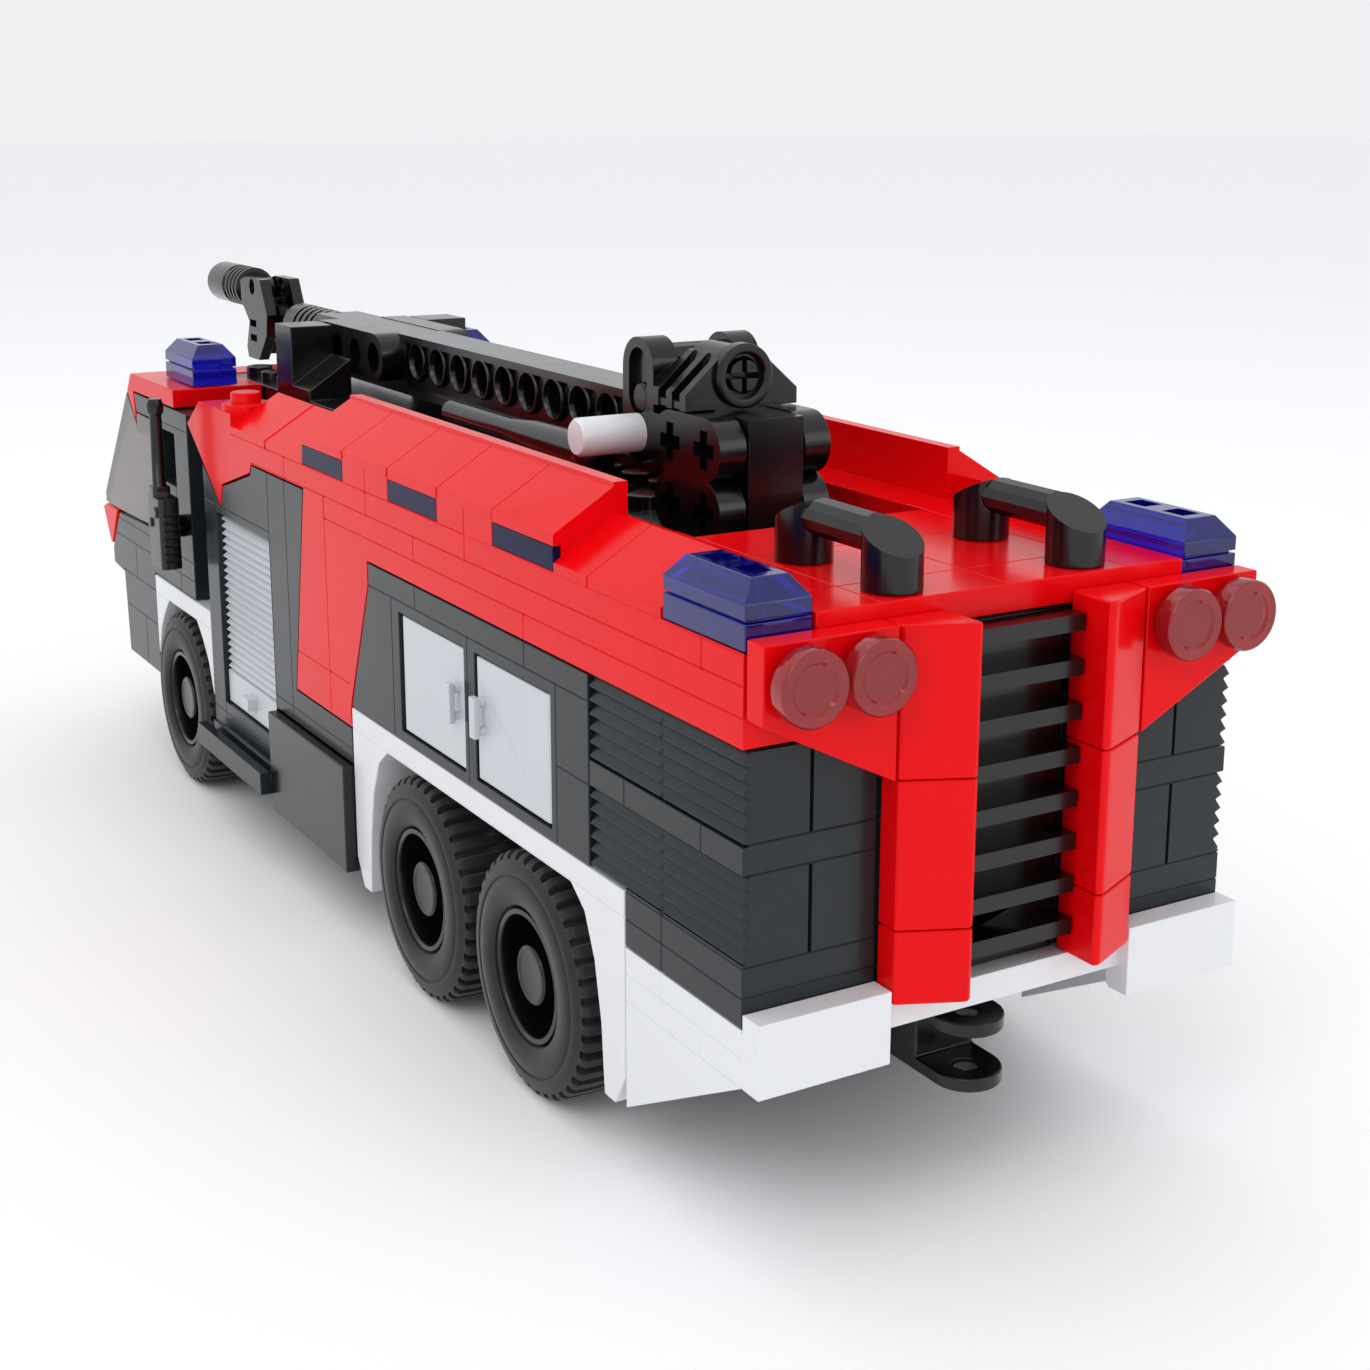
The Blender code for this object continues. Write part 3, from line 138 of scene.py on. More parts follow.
@dataclass(frozen=True)
class Finish:
    """One real material: its colour, how it was moulded and what that gives the eye."""

    name: str
    colour: str
    slot: str
    moulding: Moulding = Moulding.POLISHED
    roughness: float = 0.22
    drift: float = 0.05
    wave_mm: float = 7.0
    peel_mm: float = 0.9
    peel_height_mm: float = 0.0018
    transmission: float = 0.0
    ior: float = 1.53
    gloss: float = 0.35
    handling: float = 0.15

    def material(self) -> bpy.types.Material:
        """Builds the material once, and finds it again after that."""
        found = bpy.data.materials.get(self.name)
        if found:
            return found
        made = bpy.data.materials.new(self.name)
        made.use_nodes = True
        tree = made.node_tree
        shader = tree.nodes["Principled BSDF"]
        colour = hex_to_linear(self.colour)
        shader.inputs["IOR"].default_value = self.ior
        shader.inputs["Specular IOR Level"].default_value = self.gloss
        place = add_node(tree, "ShaderNodeTexCoord").outputs["Object"]
        wave = add_node(
            tree, "ShaderNodeTexNoise", {"Vector": place, "Scale": per_metre(self.wave_mm), "Detail": 2.0}
        )
        drift = add_node(
            tree,
            "ShaderNodeMapRange",
            {"Value": wave.outputs["Fac"], "To Min": 1.0 - self.drift, "To Max": 1.0 + self.drift},
        )
        tint = add_node(
            tree,
            "ShaderNodeMix",
            {"Factor": 1.0, 6: colour, 7: drift.outputs["Result"]},
            data_type="RGBA",
            blend_type="MULTIPLY",
        )
        tree.links.new(tint.outputs[2], shader.inputs["Base Color"])
        wear = add_node(
            tree, "ShaderNodeTexNoise", {"Vector": place, "Scale": per_metre(self.wave_mm * 0.6), "Detail": 5.0}
        )
        rough = add_node(
            tree,
            "ShaderNodeMapRange",
            {
                "Value": wear.outputs["Fac"],
                "To Min": self.roughness * (1.0 - self.handling),
                "To Max": self.roughness * (1.0 + self.handling),
            },
        )
        tree.links.new(rough.outputs["Result"], shader.inputs["Roughness"])
        peel = add_node(
            tree, "ShaderNodeTexNoise", {"Vector": place, "Scale": per_metre(self.peel_mm), "Detail": 3.0}
        )
        bump = add_node(
            tree,
            "ShaderNodeBump",
            {"Height": peel.outputs["Fac"], "Strength": 0.3, "Distance": self.peel_height_mm * MM},
        )
        tree.links.new(bump.outputs["Normal"], shader.inputs["Normal"])
        if self.moulding is Moulding.CLEAR:
            shader.inputs["Transmission Weight"].default_value = self.transmission
        if self.moulding is Moulding.POLISHED:
            shader.inputs["Coat Weight"].default_value = 0.06
            shader.inputs["Coat Roughness"].default_value = 0.08
        if self.moulding is Moulding.RUBBER:
            shader.inputs["Sheen Weight"].default_value = 0.15
        made.diffuse_color = colour
        return made


# Injection-moulded ABS from a polished mould: hard gloss over one even colour, with faint flow drift.
RED_ABS = Finish("red_moulded_abs", "#E4040C", "red_abs", roughness=0.2, gloss=0.1)
DARK_ABS = Finish("dark_grey_moulded_abs", "#1F2528", "dark_grey_abs", roughness=0.26, gloss=0.25)
BLACK_ABS = Finish("black_moulded_abs", "#0B0B0C", "black_abs", roughness=0.22, gloss=0.4)
WHITE_ABS = Finish(
    "white_moulded_abs",
    "#E1E3E6",
    "white_abs",
    roughness=0.26,
    drift=0.015,
    peel_height_mm=0.0008,
    handling=0.05,
)
LIGHT_ABS = Finish(
    "light_grey_moulded_abs",
    "#C6C9CE",
    "light_grey_abs",
    roughness=0.3,
    drift=0.015,
    peel_height_mm=0.0006,
    handling=0.05,
)
NAVY_ABS = Finish("navy_moulded_abs", "#0A0E38", "dark_grey_abs", roughness=0.18, gloss=0.06)
BROWN_ABS = Finish("brown_moulded_abs", "#2E1512", "dark_grey_abs", roughness=0.3)
# Moulded polycarbonate: clear and tinted through its thickness, so thick edges look darker.
BLUE_CLEAR = Finish(
    "blue_clear_polycarbonate",
    "#171BB0",
    "clear_blue_plastic",
    Moulding.CLEAR,
    roughness=0.06,
    drift=0.03,
    transmission=0.82,
    ior=1.58,
)
RED_CLEAR = Finish(
    "red_clear_polycarbonate",
    "#B02226",
    "red_abs",
    Moulding.CLEAR,
    roughness=0.1,
    drift=0.03,
    transmission=0.55,
    ior=1.58,
)
SMOKE_CLEAR = Finish(
    "smoke_clear_polycarbonate",
    "#8C7B70",
    "smoke_plastic",
    Moulding.CLEAR,
    roughness=0.05,
    drift=0.03,
    transmission=0.92,
    ior=1.58,
)
LAMP_CLEAR = Finish(
    "plain_clear_polycarbonate",
    "#E8EAEE",
    "white_abs",
    Moulding.CLEAR,
    roughness=0.05,
    drift=0.02,
    transmission=0.8,
    ior=1.58,
)
# Soft moulded rubber: dull, a little dusty, with a fine grain left by the mould.
TYRE_RUBBER = Finish(
    "moulded_tyre_rubber", "#1F1F20", "tyre_rubber", Moulding.RUBBER, 0.62, 0.14, 5.0, 0.5, 0.012, ior=1.45
)


# ------------------------------------------------------------------ surfaces


@dataclass
class Shape:
    """A closed surface in the datum's millimetres: its points and its faces."""

    points: np.ndarray
    faces: list[list[int]]

    def mirrored(self) -> "Shape":
        """The same shape on the truck's other side."""
        return Shape(self.points * np.array([1.0, -1.0, 1.0]), [list(reversed(f)) for f in self.faces])

    def on(self, sign: float) -> "Shape":
        """This shape on the left, or its mirror image on the right."""
        return self if sign > 0 else self.mirrored()


def joined(shapes: Iterable[Shape]) -> Shape:
    """Several shapes as one, with their faces renumbered."""
    points: list[np.ndarray] = []
    faces: list[list[int]] = []
    count = 0
    for shape in shapes:
        points.append(shape.points)
        faces += [[i + count for i in f] for f in shape.faces]
        count += len(shape.points)
    return Shape(np.concatenate(points), faces)


AXES = {"X": (0, 1, 2), "Y": (1, 0, 2), "Z": (2, 0, 1)}


def grid_faces(rows: int, columns: int) -> list[list[int]]:
    """Quads of a grid that closes on itself along its columns.

    Args:
        rows: How many rings.
        columns: How many points in a ring.

    Returns:
        Four indices a face.
    """
    row, column = np.meshgrid(np.arange(rows - 1), np.arange(columns), indexing="ij")
    here = row * columns + column
    beside = row * columns + (column + 1) % columns
    quads = np.stack([here, beside, beside + columns, here + columns], axis=-1)
    return quads.reshape(-1, 4).tolist()


def lathe(profile: Sequence[Point], centre: Point, axis: str, steps: int = 48) -> Shape:
    """A profile turned about an axis: a point is radius x (cos turn, sin turn), moved along by its offset.

    Args:
        profile: Points of (radius, along); it starts and ends at radius 0, or closes on itself.
        centre: A point on the axis.
        axis: X, Y or Z.
        steps: Points in a full turn.

    Returns:
        The turned surface.
    """
    rows = [tuple(p) for p in profile]
    if rows[0][0] > 0:
        rows.append(rows[0])
    line = np.array(rows, float)
    turn = np.linspace(0.0, math.tau, steps, endpoint=False)
    along, first, second = AXES[axis]
    points = np.empty((len(line), steps, 3))
    points[..., along] = line[:, 1, None]
    points[..., first] = line[:, 0, None] * np.cos(turn)
    points[..., second] = line[:, 0, None] * np.sin(turn)
    return Shape((points + np.array(centre, float)).reshape(-1, 3), grid_faces(len(line), steps))


def prism(outline: Sequence[Point], axis: str, low: float, high: float) -> Shape:
    """A flat outline carried straight along an axis, with both ends closed.

    Args:
        outline: Points across the axis: (y, z) for X, (x, z) for Y and (x, y) for Z.
        axis: X, Y or Z.
        low: Where it starts.
        high: Where it ends.

    Returns:
        The carried surface.
    """
    flat = np.array(outline, float)
    count = len(flat)
    along, first, second = AXES[axis]
    points = np.empty((2, count, 3))
    points[0, :, along] = low
    points[1, :, along] = high
    points[:, :, first] = flat[:, 0]
    points[:, :, second] = flat[:, 1]
    faces = grid_faces(2, count)
    faces.append(list(range(count)))
    faces.append(list(range(2 * count - 1, count - 1, -1)))
    return Shape(points.reshape(-1, 3), faces)


def slab(x: Point, y: Point, z: Point) -> Shape:
    """A straight block between two values on each axis."""
    return prism([(x[0], z[0]), (x[1], z[0]), (x[1], z[1]), (x[0], z[1])], "Y", y[0], y[1])


def arc(centre: Point, radius: float, start: float, end: float, steps: int = 12) -> list[tuple[float, float]]:
    """Points on a circle's arc, from one angle to another in degrees."""
    turn = np.radians(np.linspace(start, end, steps + 1))
    return list(zip(centre[0] + radius * np.cos(turn), centre[1] + radius * np.sin(turn)))


def sweep(path: Sequence[Point], radius: float, steps: int = 14) -> Shape:
    """A round bar carried along a path: each ring lies across the path's own direction there.

    Args:
        path: Points of the bar's middle line.
        radius: The bar's radius.
        steps: Points in a ring.

    Returns:
        The bar, closed at both ends.
    """
    line = np.array(path, float)
    ahead = np.gradient(line, axis=0)
    ahead /= np.linalg.norm(ahead, axis=1)[:, None]
    reference = np.array([0.0, 1.0, 0.0]) if abs(ahead[:, 1]).max() < 0.9 else np.array([0.0, 0.0, 1.0])
    across = np.cross(ahead, reference)
    across /= np.linalg.norm(across, axis=1)[:, None]
    up = np.cross(across, ahead)
    turn = np.linspace(0.0, math.tau, steps, endpoint=False)
    ring = across[:, None] * np.cos(turn)[:, None] + up[:, None] * np.sin(turn)[:, None]
    points = line[:, None] + radius * ring
    ends = np.concatenate([np.repeat(line[:1, None], steps, 1), points, np.repeat(line[-1:, None], steps, 1)])
    return Shape(ends.reshape(-1, 3), grid_faces(len(ends), steps))


def seam(start: Point, end: Point, half: float = 0.14) -> Shape:
    """The cutter of a V-shaped parting line between two bricks: a thin diamond bar along the line.

    Args:
        start: Where the line starts, on the surface.
        end: Where it ends.
        half: Half the line's width, which is its depth too.

    Returns:
        The cutter, a little longer than the line.
    """
    a = np.array(start, float)
    b = np.array(end, float)
    ahead = (b - a) / np.linalg.norm(b - a)
    reference = np.array([0.0, 1.0, 0.0]) if abs(ahead[0]) > 0.05 else np.array([1.0, 0.0, 0.0])
    up = np.cross(ahead, reference)
    up /= np.linalg.norm(up)
    across = np.cross(up, ahead)
    ring = np.array([across, up, -across, -up]) * half
    points = np.concatenate([a - 0.05 * ahead + ring, b + 0.05 * ahead + ring])
    faces = grid_faces(2, 4) + [[0, 1, 2, 3], [7, 6, 5, 4]]
    return Shape(points, faces)


def stud(x: float, y: float, z: float, radius: float = STUD_RADIUS) -> Shape:
    """A stud with a rounded rim, sunk a little into the plate that it stands on."""
    rim = 0.25
    top = STUD_HEIGHT
    profile = [(0, -0.4), (radius, -0.4), (radius, top - rim), (radius - rim * 0.3, top - rim * 0.3)]
    return lathe(profile + [(radius - rim, top), (0, top)], (x, y, z), "Z", 28)


def rounded_block(x: Point, y: Point, z: Point) -> Shape:
    """A block whose four upright edges are rounded, for small fittings."""
    radius = 0.22 * min(abs(x[1] - x[0]), abs(y[1] - y[0]))
    corners = (
        ((x[1] - radius, y[1] - radius), 0),
        ((x[0] + radius, y[1] - radius), 90),
        ((x[0] + radius, y[0] + radius), 180),
        ((x[1] - radius, y[0] + radius), 270),
    )
    outline: list[tuple[float, float]] = []
    for centre, start in corners:
        outline += arc(centre, radius, start, start + 90, 4)
    return prism(outline, "Z", z[0], z[1])


# ------------------------------------------------------------------ workshop


@dataclass
class Workshop:
    """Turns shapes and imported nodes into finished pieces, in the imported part's own place."""

    datum: Vector
    made: int = 0
    bodies: dict[str, str] = field(default_factory=dict)

    @classmethod
    def from_frame(cls) -> "Workshop":
        """Finds the datum, the rear lower corner of the red band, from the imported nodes."""
        fit = 0.15
        side_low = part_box("upper_side_left")[0]
        deck_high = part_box("rear_deck")[1]
        datum = Vector((side_low.x - fit * MM, 0.0, deck_high.z - ROOF_EDGE * MM))
        bodies = {name: node["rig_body"] for name, node in frame["nodes"].items()}
        return cls(datum, 0, bodies)

    def raw(self, name: str, shape: Shape) -> bpy.types.Object:
        """Makes an object of a shape, with its poles closed and its faces pointing out."""
        mesh = bpy.data.meshes.new(name)
        placed = shape.points * MM + np.array(self.datum)
        mesh.from_pydata(placed.tolist(), [], shape.faces)
        self.clean(mesh, True)
        made = bpy.data.objects.new(name, mesh)
        bpy.context.scene.collection.objects.link(made)
        return made

    @staticmethod
    def clean(mesh: bpy.types.Mesh, turn_out: bool, whole: bool = False) -> None:
        """Merges doubled points, drops what has no area, and repairs the faces as asked.

        Args:
            mesh: The mesh to work on, in place.
            turn_out: Whether to point the faces out.
            whole: Whether to join the triangles of each flat face.
        """
        work = bmesh.new()
        work.from_mesh(mesh)
        bmesh.ops.remove_doubles(work, verts=work.verts, dist=1e-6)
        bmesh.ops.dissolve_degenerate(work, edges=work.edges, dist=1e-6)
        if turn_out:
            bmesh.ops.recalc_face_normals(work, faces=work.faces)
        if whole:
            bmesh.ops.dissolve_limit(work, angle_limit=math.radians(0.4), verts=work.verts, edges=work.edges)
        work.to_mesh(mesh)
        work.free()

    def copy_of(self, node: str, name: str, whole: bool) -> bpy.types.Object:
        """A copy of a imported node, merged, with its flat faces whole again unless they hold openings."""
        source = frame["nodes"][node]
        mesh = source.data.copy()
        mesh.materials.clear()
        mesh.name = name
        for layer in list(mesh.uv_layers):
            mesh.uv_layers.remove(layer)
        self.clean(mesh, False, whole)
        made = bpy.data.objects.new(name, mesh)
        bpy.context.scene.collection.objects.link(made)
        return made

    def combine(self, work: bpy.types.Object, operation: str, shapes: Sequence[Shape]) -> bpy.types.Object:
        """Adds a Boolean modifier that works with these shapes, and returns the helper that holds them."""
        helper = self.raw("helper", joined(shapes))
        step = work.modifiers.new(operation.lower(), "BOOLEAN")
        step.operation = operation
        step.solver = "EXACT"
        step.use_self = True
        step.object = helper
        return helper

    def settle(
        self,
        work: bpy.types.Object,
        finish: Finish,
        bevel: float,
        cutters: Sequence[Shape] = (),
        adds: Sequence[Shape] = (),
        gaps: Sequence[Shape] = (),
        segments: int = 2,
    ) -> bpy.types.Object:
        """Adds to a piece, opens its gaps, rounds its edges, cuts its parting lines and dresses it.

        Args:
            work: The piece as it comes.
            finish: Its material.
            bevel: The edge radius in millimetres, or 0 for none.
            cutters: Shapes cut out of it.
            adds: Shapes joined to it first.
            gaps: Shapes cut out before its edges are rounded, so that each gap's edges are rounded too.
            segments: Steps across a rounded edge.

        Returns:
            The finished object, with no modifiers left.
        """
        helpers: list[bpy.types.Object] = []
        if adds:
            helpers.append(self.combine(work, "UNION", adds))
        if gaps:
            helpers.append(self.combine(work, "DIFFERENCE", gaps))
        if bevel:
            edge = work.modifiers.new("edge", "BEVEL")
            edge.width = bevel * MM
            edge.segments = segments
            edge.limit_method = "ANGLE"
            edge.angle_limit = math.radians(28)
            edge.miter_outer = "MITER_ARC"
        if cutters:
            helpers.append(self.combine(work, "DIFFERENCE", cutters))
        weigh = work.modifiers.new("weigh", "WEIGHTED_NORMAL")
        weigh.keep_sharp = True
        work.data.shade_smooth()
        work.data.set_sharp_from_angle(angle=math.radians(45))
        graph = bpy.context.evaluated_depsgraph_get()
        result = bpy.data.meshes.new_from_object(work.evaluated_get(graph))
        result.name = work.name
        work.modifiers.clear()
        old = work.data
        work.data = result
        bpy.data.meshes.remove(old)
        for helper in helpers:
            bpy.data.objects.remove(helper, do_unlink=True)
        result.materials.clear()
        result.materials.append(finish.material())
        return work

    def deliver(self, piece: bpy.types.Object, finish: Finish, body: str, *nodes: str) -> bpy.types.Object:
        """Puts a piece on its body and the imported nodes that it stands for."""
        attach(piece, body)
        if nodes:
            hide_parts(*nodes)
        self.made += 1
        LOG.info("%s: %d faces on %s", piece.name, len(piece.data.polygons), body)
        return piece

    def refine(
        self,
        node: str,
        finish: Finish,
        bevel: float = 0.15,
        cutters: Sequence[Shape] = (),
        adds: Sequence[Shape] = (),
        gaps: Sequence[Shape] = (),
        segments: int = 2,
        whole: bool = True,
    ) -> bpy.types.Object:
        """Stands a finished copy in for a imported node, on the same body."""
        work = self.copy_of(node, node + "_moulding", whole)
        piece = self.settle(work, finish, bevel, cutters, adds, gaps, segments)
        return self.deliver(piece, finish, self.bodies[node], node)

    def make(
        self,
        name: str,
        shape: Shape,
        finish: Finish,
        body: str,
        *nodes: str,
        bevel: float = 0.12,
        cutters: Sequence[Shape] = (),
    ) -> bpy.types.Object:
        """Makes a new piece from a shape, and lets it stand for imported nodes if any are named."""
        piece = self.settle(self.raw(name, shape), finish, bevel, cutters)
        return self.deliver(piece, finish, body, *nodes)


# ------------------------------------------------------------------ running gear


@dataclass
class Wheel:
    """A rubber tyre with staggered lugs on a deep black rim."""

    position: str
    x: float
    radius: float = 15.2
    width: float = 14.0
    bore: float = 8.7
    lugs: int = 40
    lug_depth: float = 1.0
    y: float = 26.0
    z: float = -41.6
    steps_per_lug: int = 8

    def section(self) -> np.ndarray:
        """The tyre's outline as (radius, along): bead, wall, shoulder and a slightly crowned tread."""
        half = self.width / 2
        wall = [(0.0, 0.55), (0.6, 0.05), (2.2, 0.0), (3.3, 0.12)]
        wall += [(3.55, 0.35), (3.8, 0.12), (4.7, 0.2), (5.2, 0.62)]
        left = [(self.bore + r, -half + a) for r, a in wall]
        tread = [(-1.0, 0.9), (-0.5, 0.88), (-0.1, 0.8), (0.0, 0.5), (0.0, 0.28), (-0.05, 0.06)]
        left += [(self.radius + r, -half * a) for r, a in tread]
        right = [(r, -a) for r, a in reversed(left)]
        return np.array(left + right)

    def tyre(self) -> Shape:
        """The tread sinks by the lug depth where a cosine of the turn is low, half a lug later on one side."""
        section = self.section()
        count = self.lugs * self.steps_per_lug
        turn = np.linspace(0.0, math.tau, count, endpoint=False)
        stagger = np.where(section[:, 1] > 0, math.pi, 0.0)
        ripple = np.cos(self.lugs * turn[None, :] + stagger[:, None])
        gap = np.clip((-ripple - 0.12) / 0.3, 0.0, 1.0)
        reach = np.clip((section[:, 0] - self.radius + 0.95) / 0.4, 0.0, 1.0)
        middle = np.clip((np.abs(section[:, 1]) - 0.6) / 0.8, 0.0, 1.0)
        radius = section[:, 0, None] - self.lug_depth * gap * (reach * middle)[:, None]
        points = np.stack(
            [
                self.x + radius * np.cos(turn),
                self.y + np.repeat(section[:, 1, None], count, 1),
                self.z + radius * np.sin(turn),
            ],
            axis=-1,
        )
        closed = np.concatenate([points, points[:1]])
        return Shape(closed.reshape(-1, 3), grid_faces(len(closed), count))

    def rim(self) -> Shape:
        """A deep dish with a rolled lip round a flat hub cap, open to its pin behind."""
        half = self.width / 2
        lip = self.bore - 0.3
        profile = [(0, 3.0), (2.7, 3.0), (2.7, -half + 0.3), (3.9, -half + 0.3), (3.9, -3.0), (lip - 1.2, -3.0)]
        profile += [(lip - 1.2, -half + 0.3), (lip, -half + 0.3), (lip, half - 0.9), (lip - 0.2, half - 0.6)]
        profile += [(lip - 0.8, half - 0.55), (lip - 1.0, half - 0.8), (lip - 1.1, half - 2.0), (lip - 1.5, 0.6)]
        profile += [(lip - 1.9, -0.2), (lip - 2.6, -0.9), (4.1, -1.0), (3.9, -0.8), (3.8, half - 1.4)]
        profile += [(3.6, half - 1.1), (3.2, half - 1.0), (2.9, half - 1.15), (2.6, half - 1.2), (0, half - 1.2)]
        return lathe(profile, (self.x, self.y, self.z), "Y", 64)

    def build(self, shop: Workshop) -> None:
        """Makes the wheel on both sides."""
        for side, sign in SIDES:
            body = f"wheel_{self.position}_{side}"
            node = f"{self.position}_{side}"
            tyre = self.tyre().on(sign)
            shop.make(f"tyre_{node}_rubber", tyre, TYRE_RUBBER, body, f"tyre_{node}", bevel=0)
            shop.make(f"rim_{node}_dish", self.rim().on(sign), BLACK_ABS, body, f"rim_{node}", bevel=0)


@dataclass
class Chassis:
    """The black frame under the body, its axle beams and the forked hitch."""

    deck_z: float = -25.3

    def build(self, shop: Workshop) -> None:
        """Makes the frame, beams and hitch."""
        lines = [seam((x, -24, self.deck_z), (x, 24, self.deck_z)) for x in (40.0, 72.0, 104.0, 136.0)]
        shop.refine("chassis", BLACK_ABS, cutters=lines)
        for node in ("front_axle_beam", "rear_axle_beam"):
            shop.refine(node, BLACK_ABS, 0.2)
        shop.refine("tow_hitch", BLACK_ABS, 0.22, adds=[stud(11.9, 0.0, -36.4, 2.2)])


# ------------------------------------------------------------------ body


@dataclass
class UpperBody:
    """The red band, slopes and corner of each side, with its navy window plates."""

    slope_joints: tuple[float, ...] = (56.0, 72.0, 88.0, 104.0)
    low_slope_joints: tuple[float, ...] = (32.0, 136.0)
    window_starts: tuple[float, ...] = (40.0, 72.0, 104.0)
    face: float = HALF_WIDTH

    def lines(self) -> list[Shape]:
        """The parting lines of the left side: between slopes, between plates and between brick ends."""
        y = self.face
        found = []
        slopes = [(x, ROOF_EDGE) for x in self.slope_joints] + [(x, BRICK) for x in self.low_slope_joints]
        for x, edge in slopes:
            base = edge - 0.3
            lip = (x, y, base + 1.5)
            found.append(seam(lip, (x, y - STUD, base + 2 * PLATE)))
            found.append(seam((x, y, edge), lip))
        found.append(seam((0, y, PLATE), (112, y, PLATE)))
        found.append(seam((0, y, 2 * PLATE), (143, y, 2 * PLATE)))
        found.append(seam((0, y, BRICK), (152, y, BRICK)))
        for x in (64.0, 96.0):
            found.append(seam((x, y, BRICK), (x, y, ROOF_EDGE)))
        for x, low, high in ((8, 2, 3), (48, 0, 1), (80, 1, 2), (96, 2, 3), (112, 1, 2), (128, 2, 3), (64, 2, 3)):
            found.append(seam((x, y, low * PLATE), (x, y, high * PLATE)))
        found.append(seam((112, y, -25), (112, y, 2 * PLATE)))
        found.append(seam((104.4, y, -BRICK * 2), (126, y, -BRICK * 2)))
        found.append(seam((40, y, ROOF_EDGE), (120, y, ROOF_EDGE)))
        return found

    def window(self, x: float) -> Shape:
        """One navy plate, two studs long, that fills its pocket."""
        gap = 0.12
        return slab(
            (x + gap, x + 2 * STUD - gap), (self.face - 0.9, self.face), (BRICK + 0.2, ROOF_EDGE - 0.2)
        )

    def build(self, shop: Workshop) -> None:
        """Makes both sides, their studs and their window plates."""
        for side, sign in SIDES:
            cutters = [line.on(sign) for line in self.lines()]
            base = [(0, 12.4), (3.85, 12.4), (3.85, 13.7), (3.65, 13.9), (0, 13.9)]
            round_plate = lathe(base, (156.0, sign * 28.0, 0), "Z", 40)
            adds = [joined([round_plate, stud(156.0, sign * 28.0, ROOF_EDGE + 1.1)])]
            shop.refine(f"upper_side_{side}", RED_ABS, 0.16, cutters, adds)
            plates = joined(self.window(x) for x in self.window_starts).on(sign)
            shop.make(f"window_plates_{side}", plates, NAVY_ABS, "body", bevel=0.1)


@dataclass
class RearEnd:
    """The deck, handles, grille, pillars, lamps, louvred corners and bumper."""

    lamp_radius: float = 3.9
    lamp_z: float = 7.2
    lamp_face: float = -6.4

    def lamp(self, y: float) -> Shape:
        """A clear round plate: a thick rimmed disc in front of a narrower ring."""
        r = self.lamp_radius
        face = self.lamp_face
        profile = [(0, face + 0.3), (r - 1.5, face + 0.3), (r - 1.2, face), (r - 0.2, face), (r, face + 0.2)]
        profile += [(r, face + 1.9), (r - 0.15, face + 2.05), (r - 0.9, face + 2.1), (r - 0.9, -3.3), (0, -3.3)]
        return lathe(profile, (0, y, self.lamp_z), "X", 48)

    def lamp_block(self) -> Shape:
        """The red block that carries the lamps, cut away on a slant below."""
        outline = [(31.85, 3.2), (31.85, 11.2), (16.15, 11.2), (16.15, -4.8)]
        return prism(outline, "X", -PLATE, -0.15)

    def deck_lines(self) -> list[Shape]:
        """The joints of the deck's tiles."""
        z = ROOF_EDGE
        found = [seam((0, y, z), (40, y, z)) for y in (-16.0, 0.0, 16.0)]
        found += [seam((x, -24, z), (x, 24, z)) for x in (8.0, 24.0)]
        return found

    def corner_lines(self) -> list[Shape]:
        """The joints of the left corner: louvre bricks, plates and the gaps between rear blocks."""
        y = HALF_WIDTH
        belt = -BRICK
        found = []
        for z in (belt, belt - PLATE, BELT_TOP, BELT_TOP - PLATE):
            found.append(seam((0, 16, z), (0, y, z)))
            found.append(seam((0, y, z), (32, y, z)))
        for low, high in ((belt, 0.0), (BELT_TOP, belt - PLATE)):
            found.append(slab((-0.5, 0.8), (23.8, 24.25), (low + 0.1, high - 0.1)))
            found.append(seam((16, y, low), (16, y, high), 0.45))
        found.append(seam((8, y, belt - PLATE), (8, y, belt)))
        found.append(seam((24, y, belt - PLATE), (24, y, belt)))
        found.append(seam((16, y, BELT_TOP - 2 * PLATE), (16, y, BELT_TOP)))
        return found

    def bumper_lines(self) -> list[Shape]:
        """The joints of the white bumper and skirts."""
        found = []
        for sign in (1.0, -1.0):
            for z in (-32.0, -35.2):
                found.append(seam((0, sign * HALF_WIDTH, z), (24, sign * HALF_WIDTH, z)))
            found.append(seam((8, sign * HALF_WIDTH, -35.2), (8, sign * HALF_WIDTH, -32)))
            found.append(seam((16, sign * HALF_WIDTH, -32), (16, sign * HALF_WIDTH, -28.8)))
        return found

    def build(self, shop: Workshop) -> None:
        """Makes everything at the rear end."""
        shop.refine("rear_deck", RED_ABS, 0.14, self.deck_lines())
        shop.refine("rear_grille", BLACK_ABS, 0.16)
        shop.refine("rear_bumper", WHITE_ABS, 0.16, self.bumper_lines())
        for side, sign in SIDES:
            width = sorted((sign * 7, sign * 17))
            joints = [slab((-8, 1), width, (z - 0.06, z + 0.06)) for z in (-4.8, -20.8)]
            shop.refine(f"rear_pillar_{side}", RED_ABS, 0.3, gaps=joints, segments=3)
            lines = [s.on(sign) for s in self.corner_lines()]
            shop.refine(f"rear_corner_{side}", DARK_ABS, 0.09, lines, whole=False)
            shop.refine(f"roof_handle_{side}", BLACK_ABS, 0.55, segments=4)
            block = self.lamp_block().on(sign)
            shop.make(f"lamp_block_{side}", block, RED_ABS, "body", f"rear_lamps_{side}", bevel=0.15)
            lamps = joined([self.lamp(20.0), self.lamp(28.0)]).on(sign)
            shop.make(f"lamp_lenses_{side}", lamps, RED_CLEAR, "body", bevel=0)


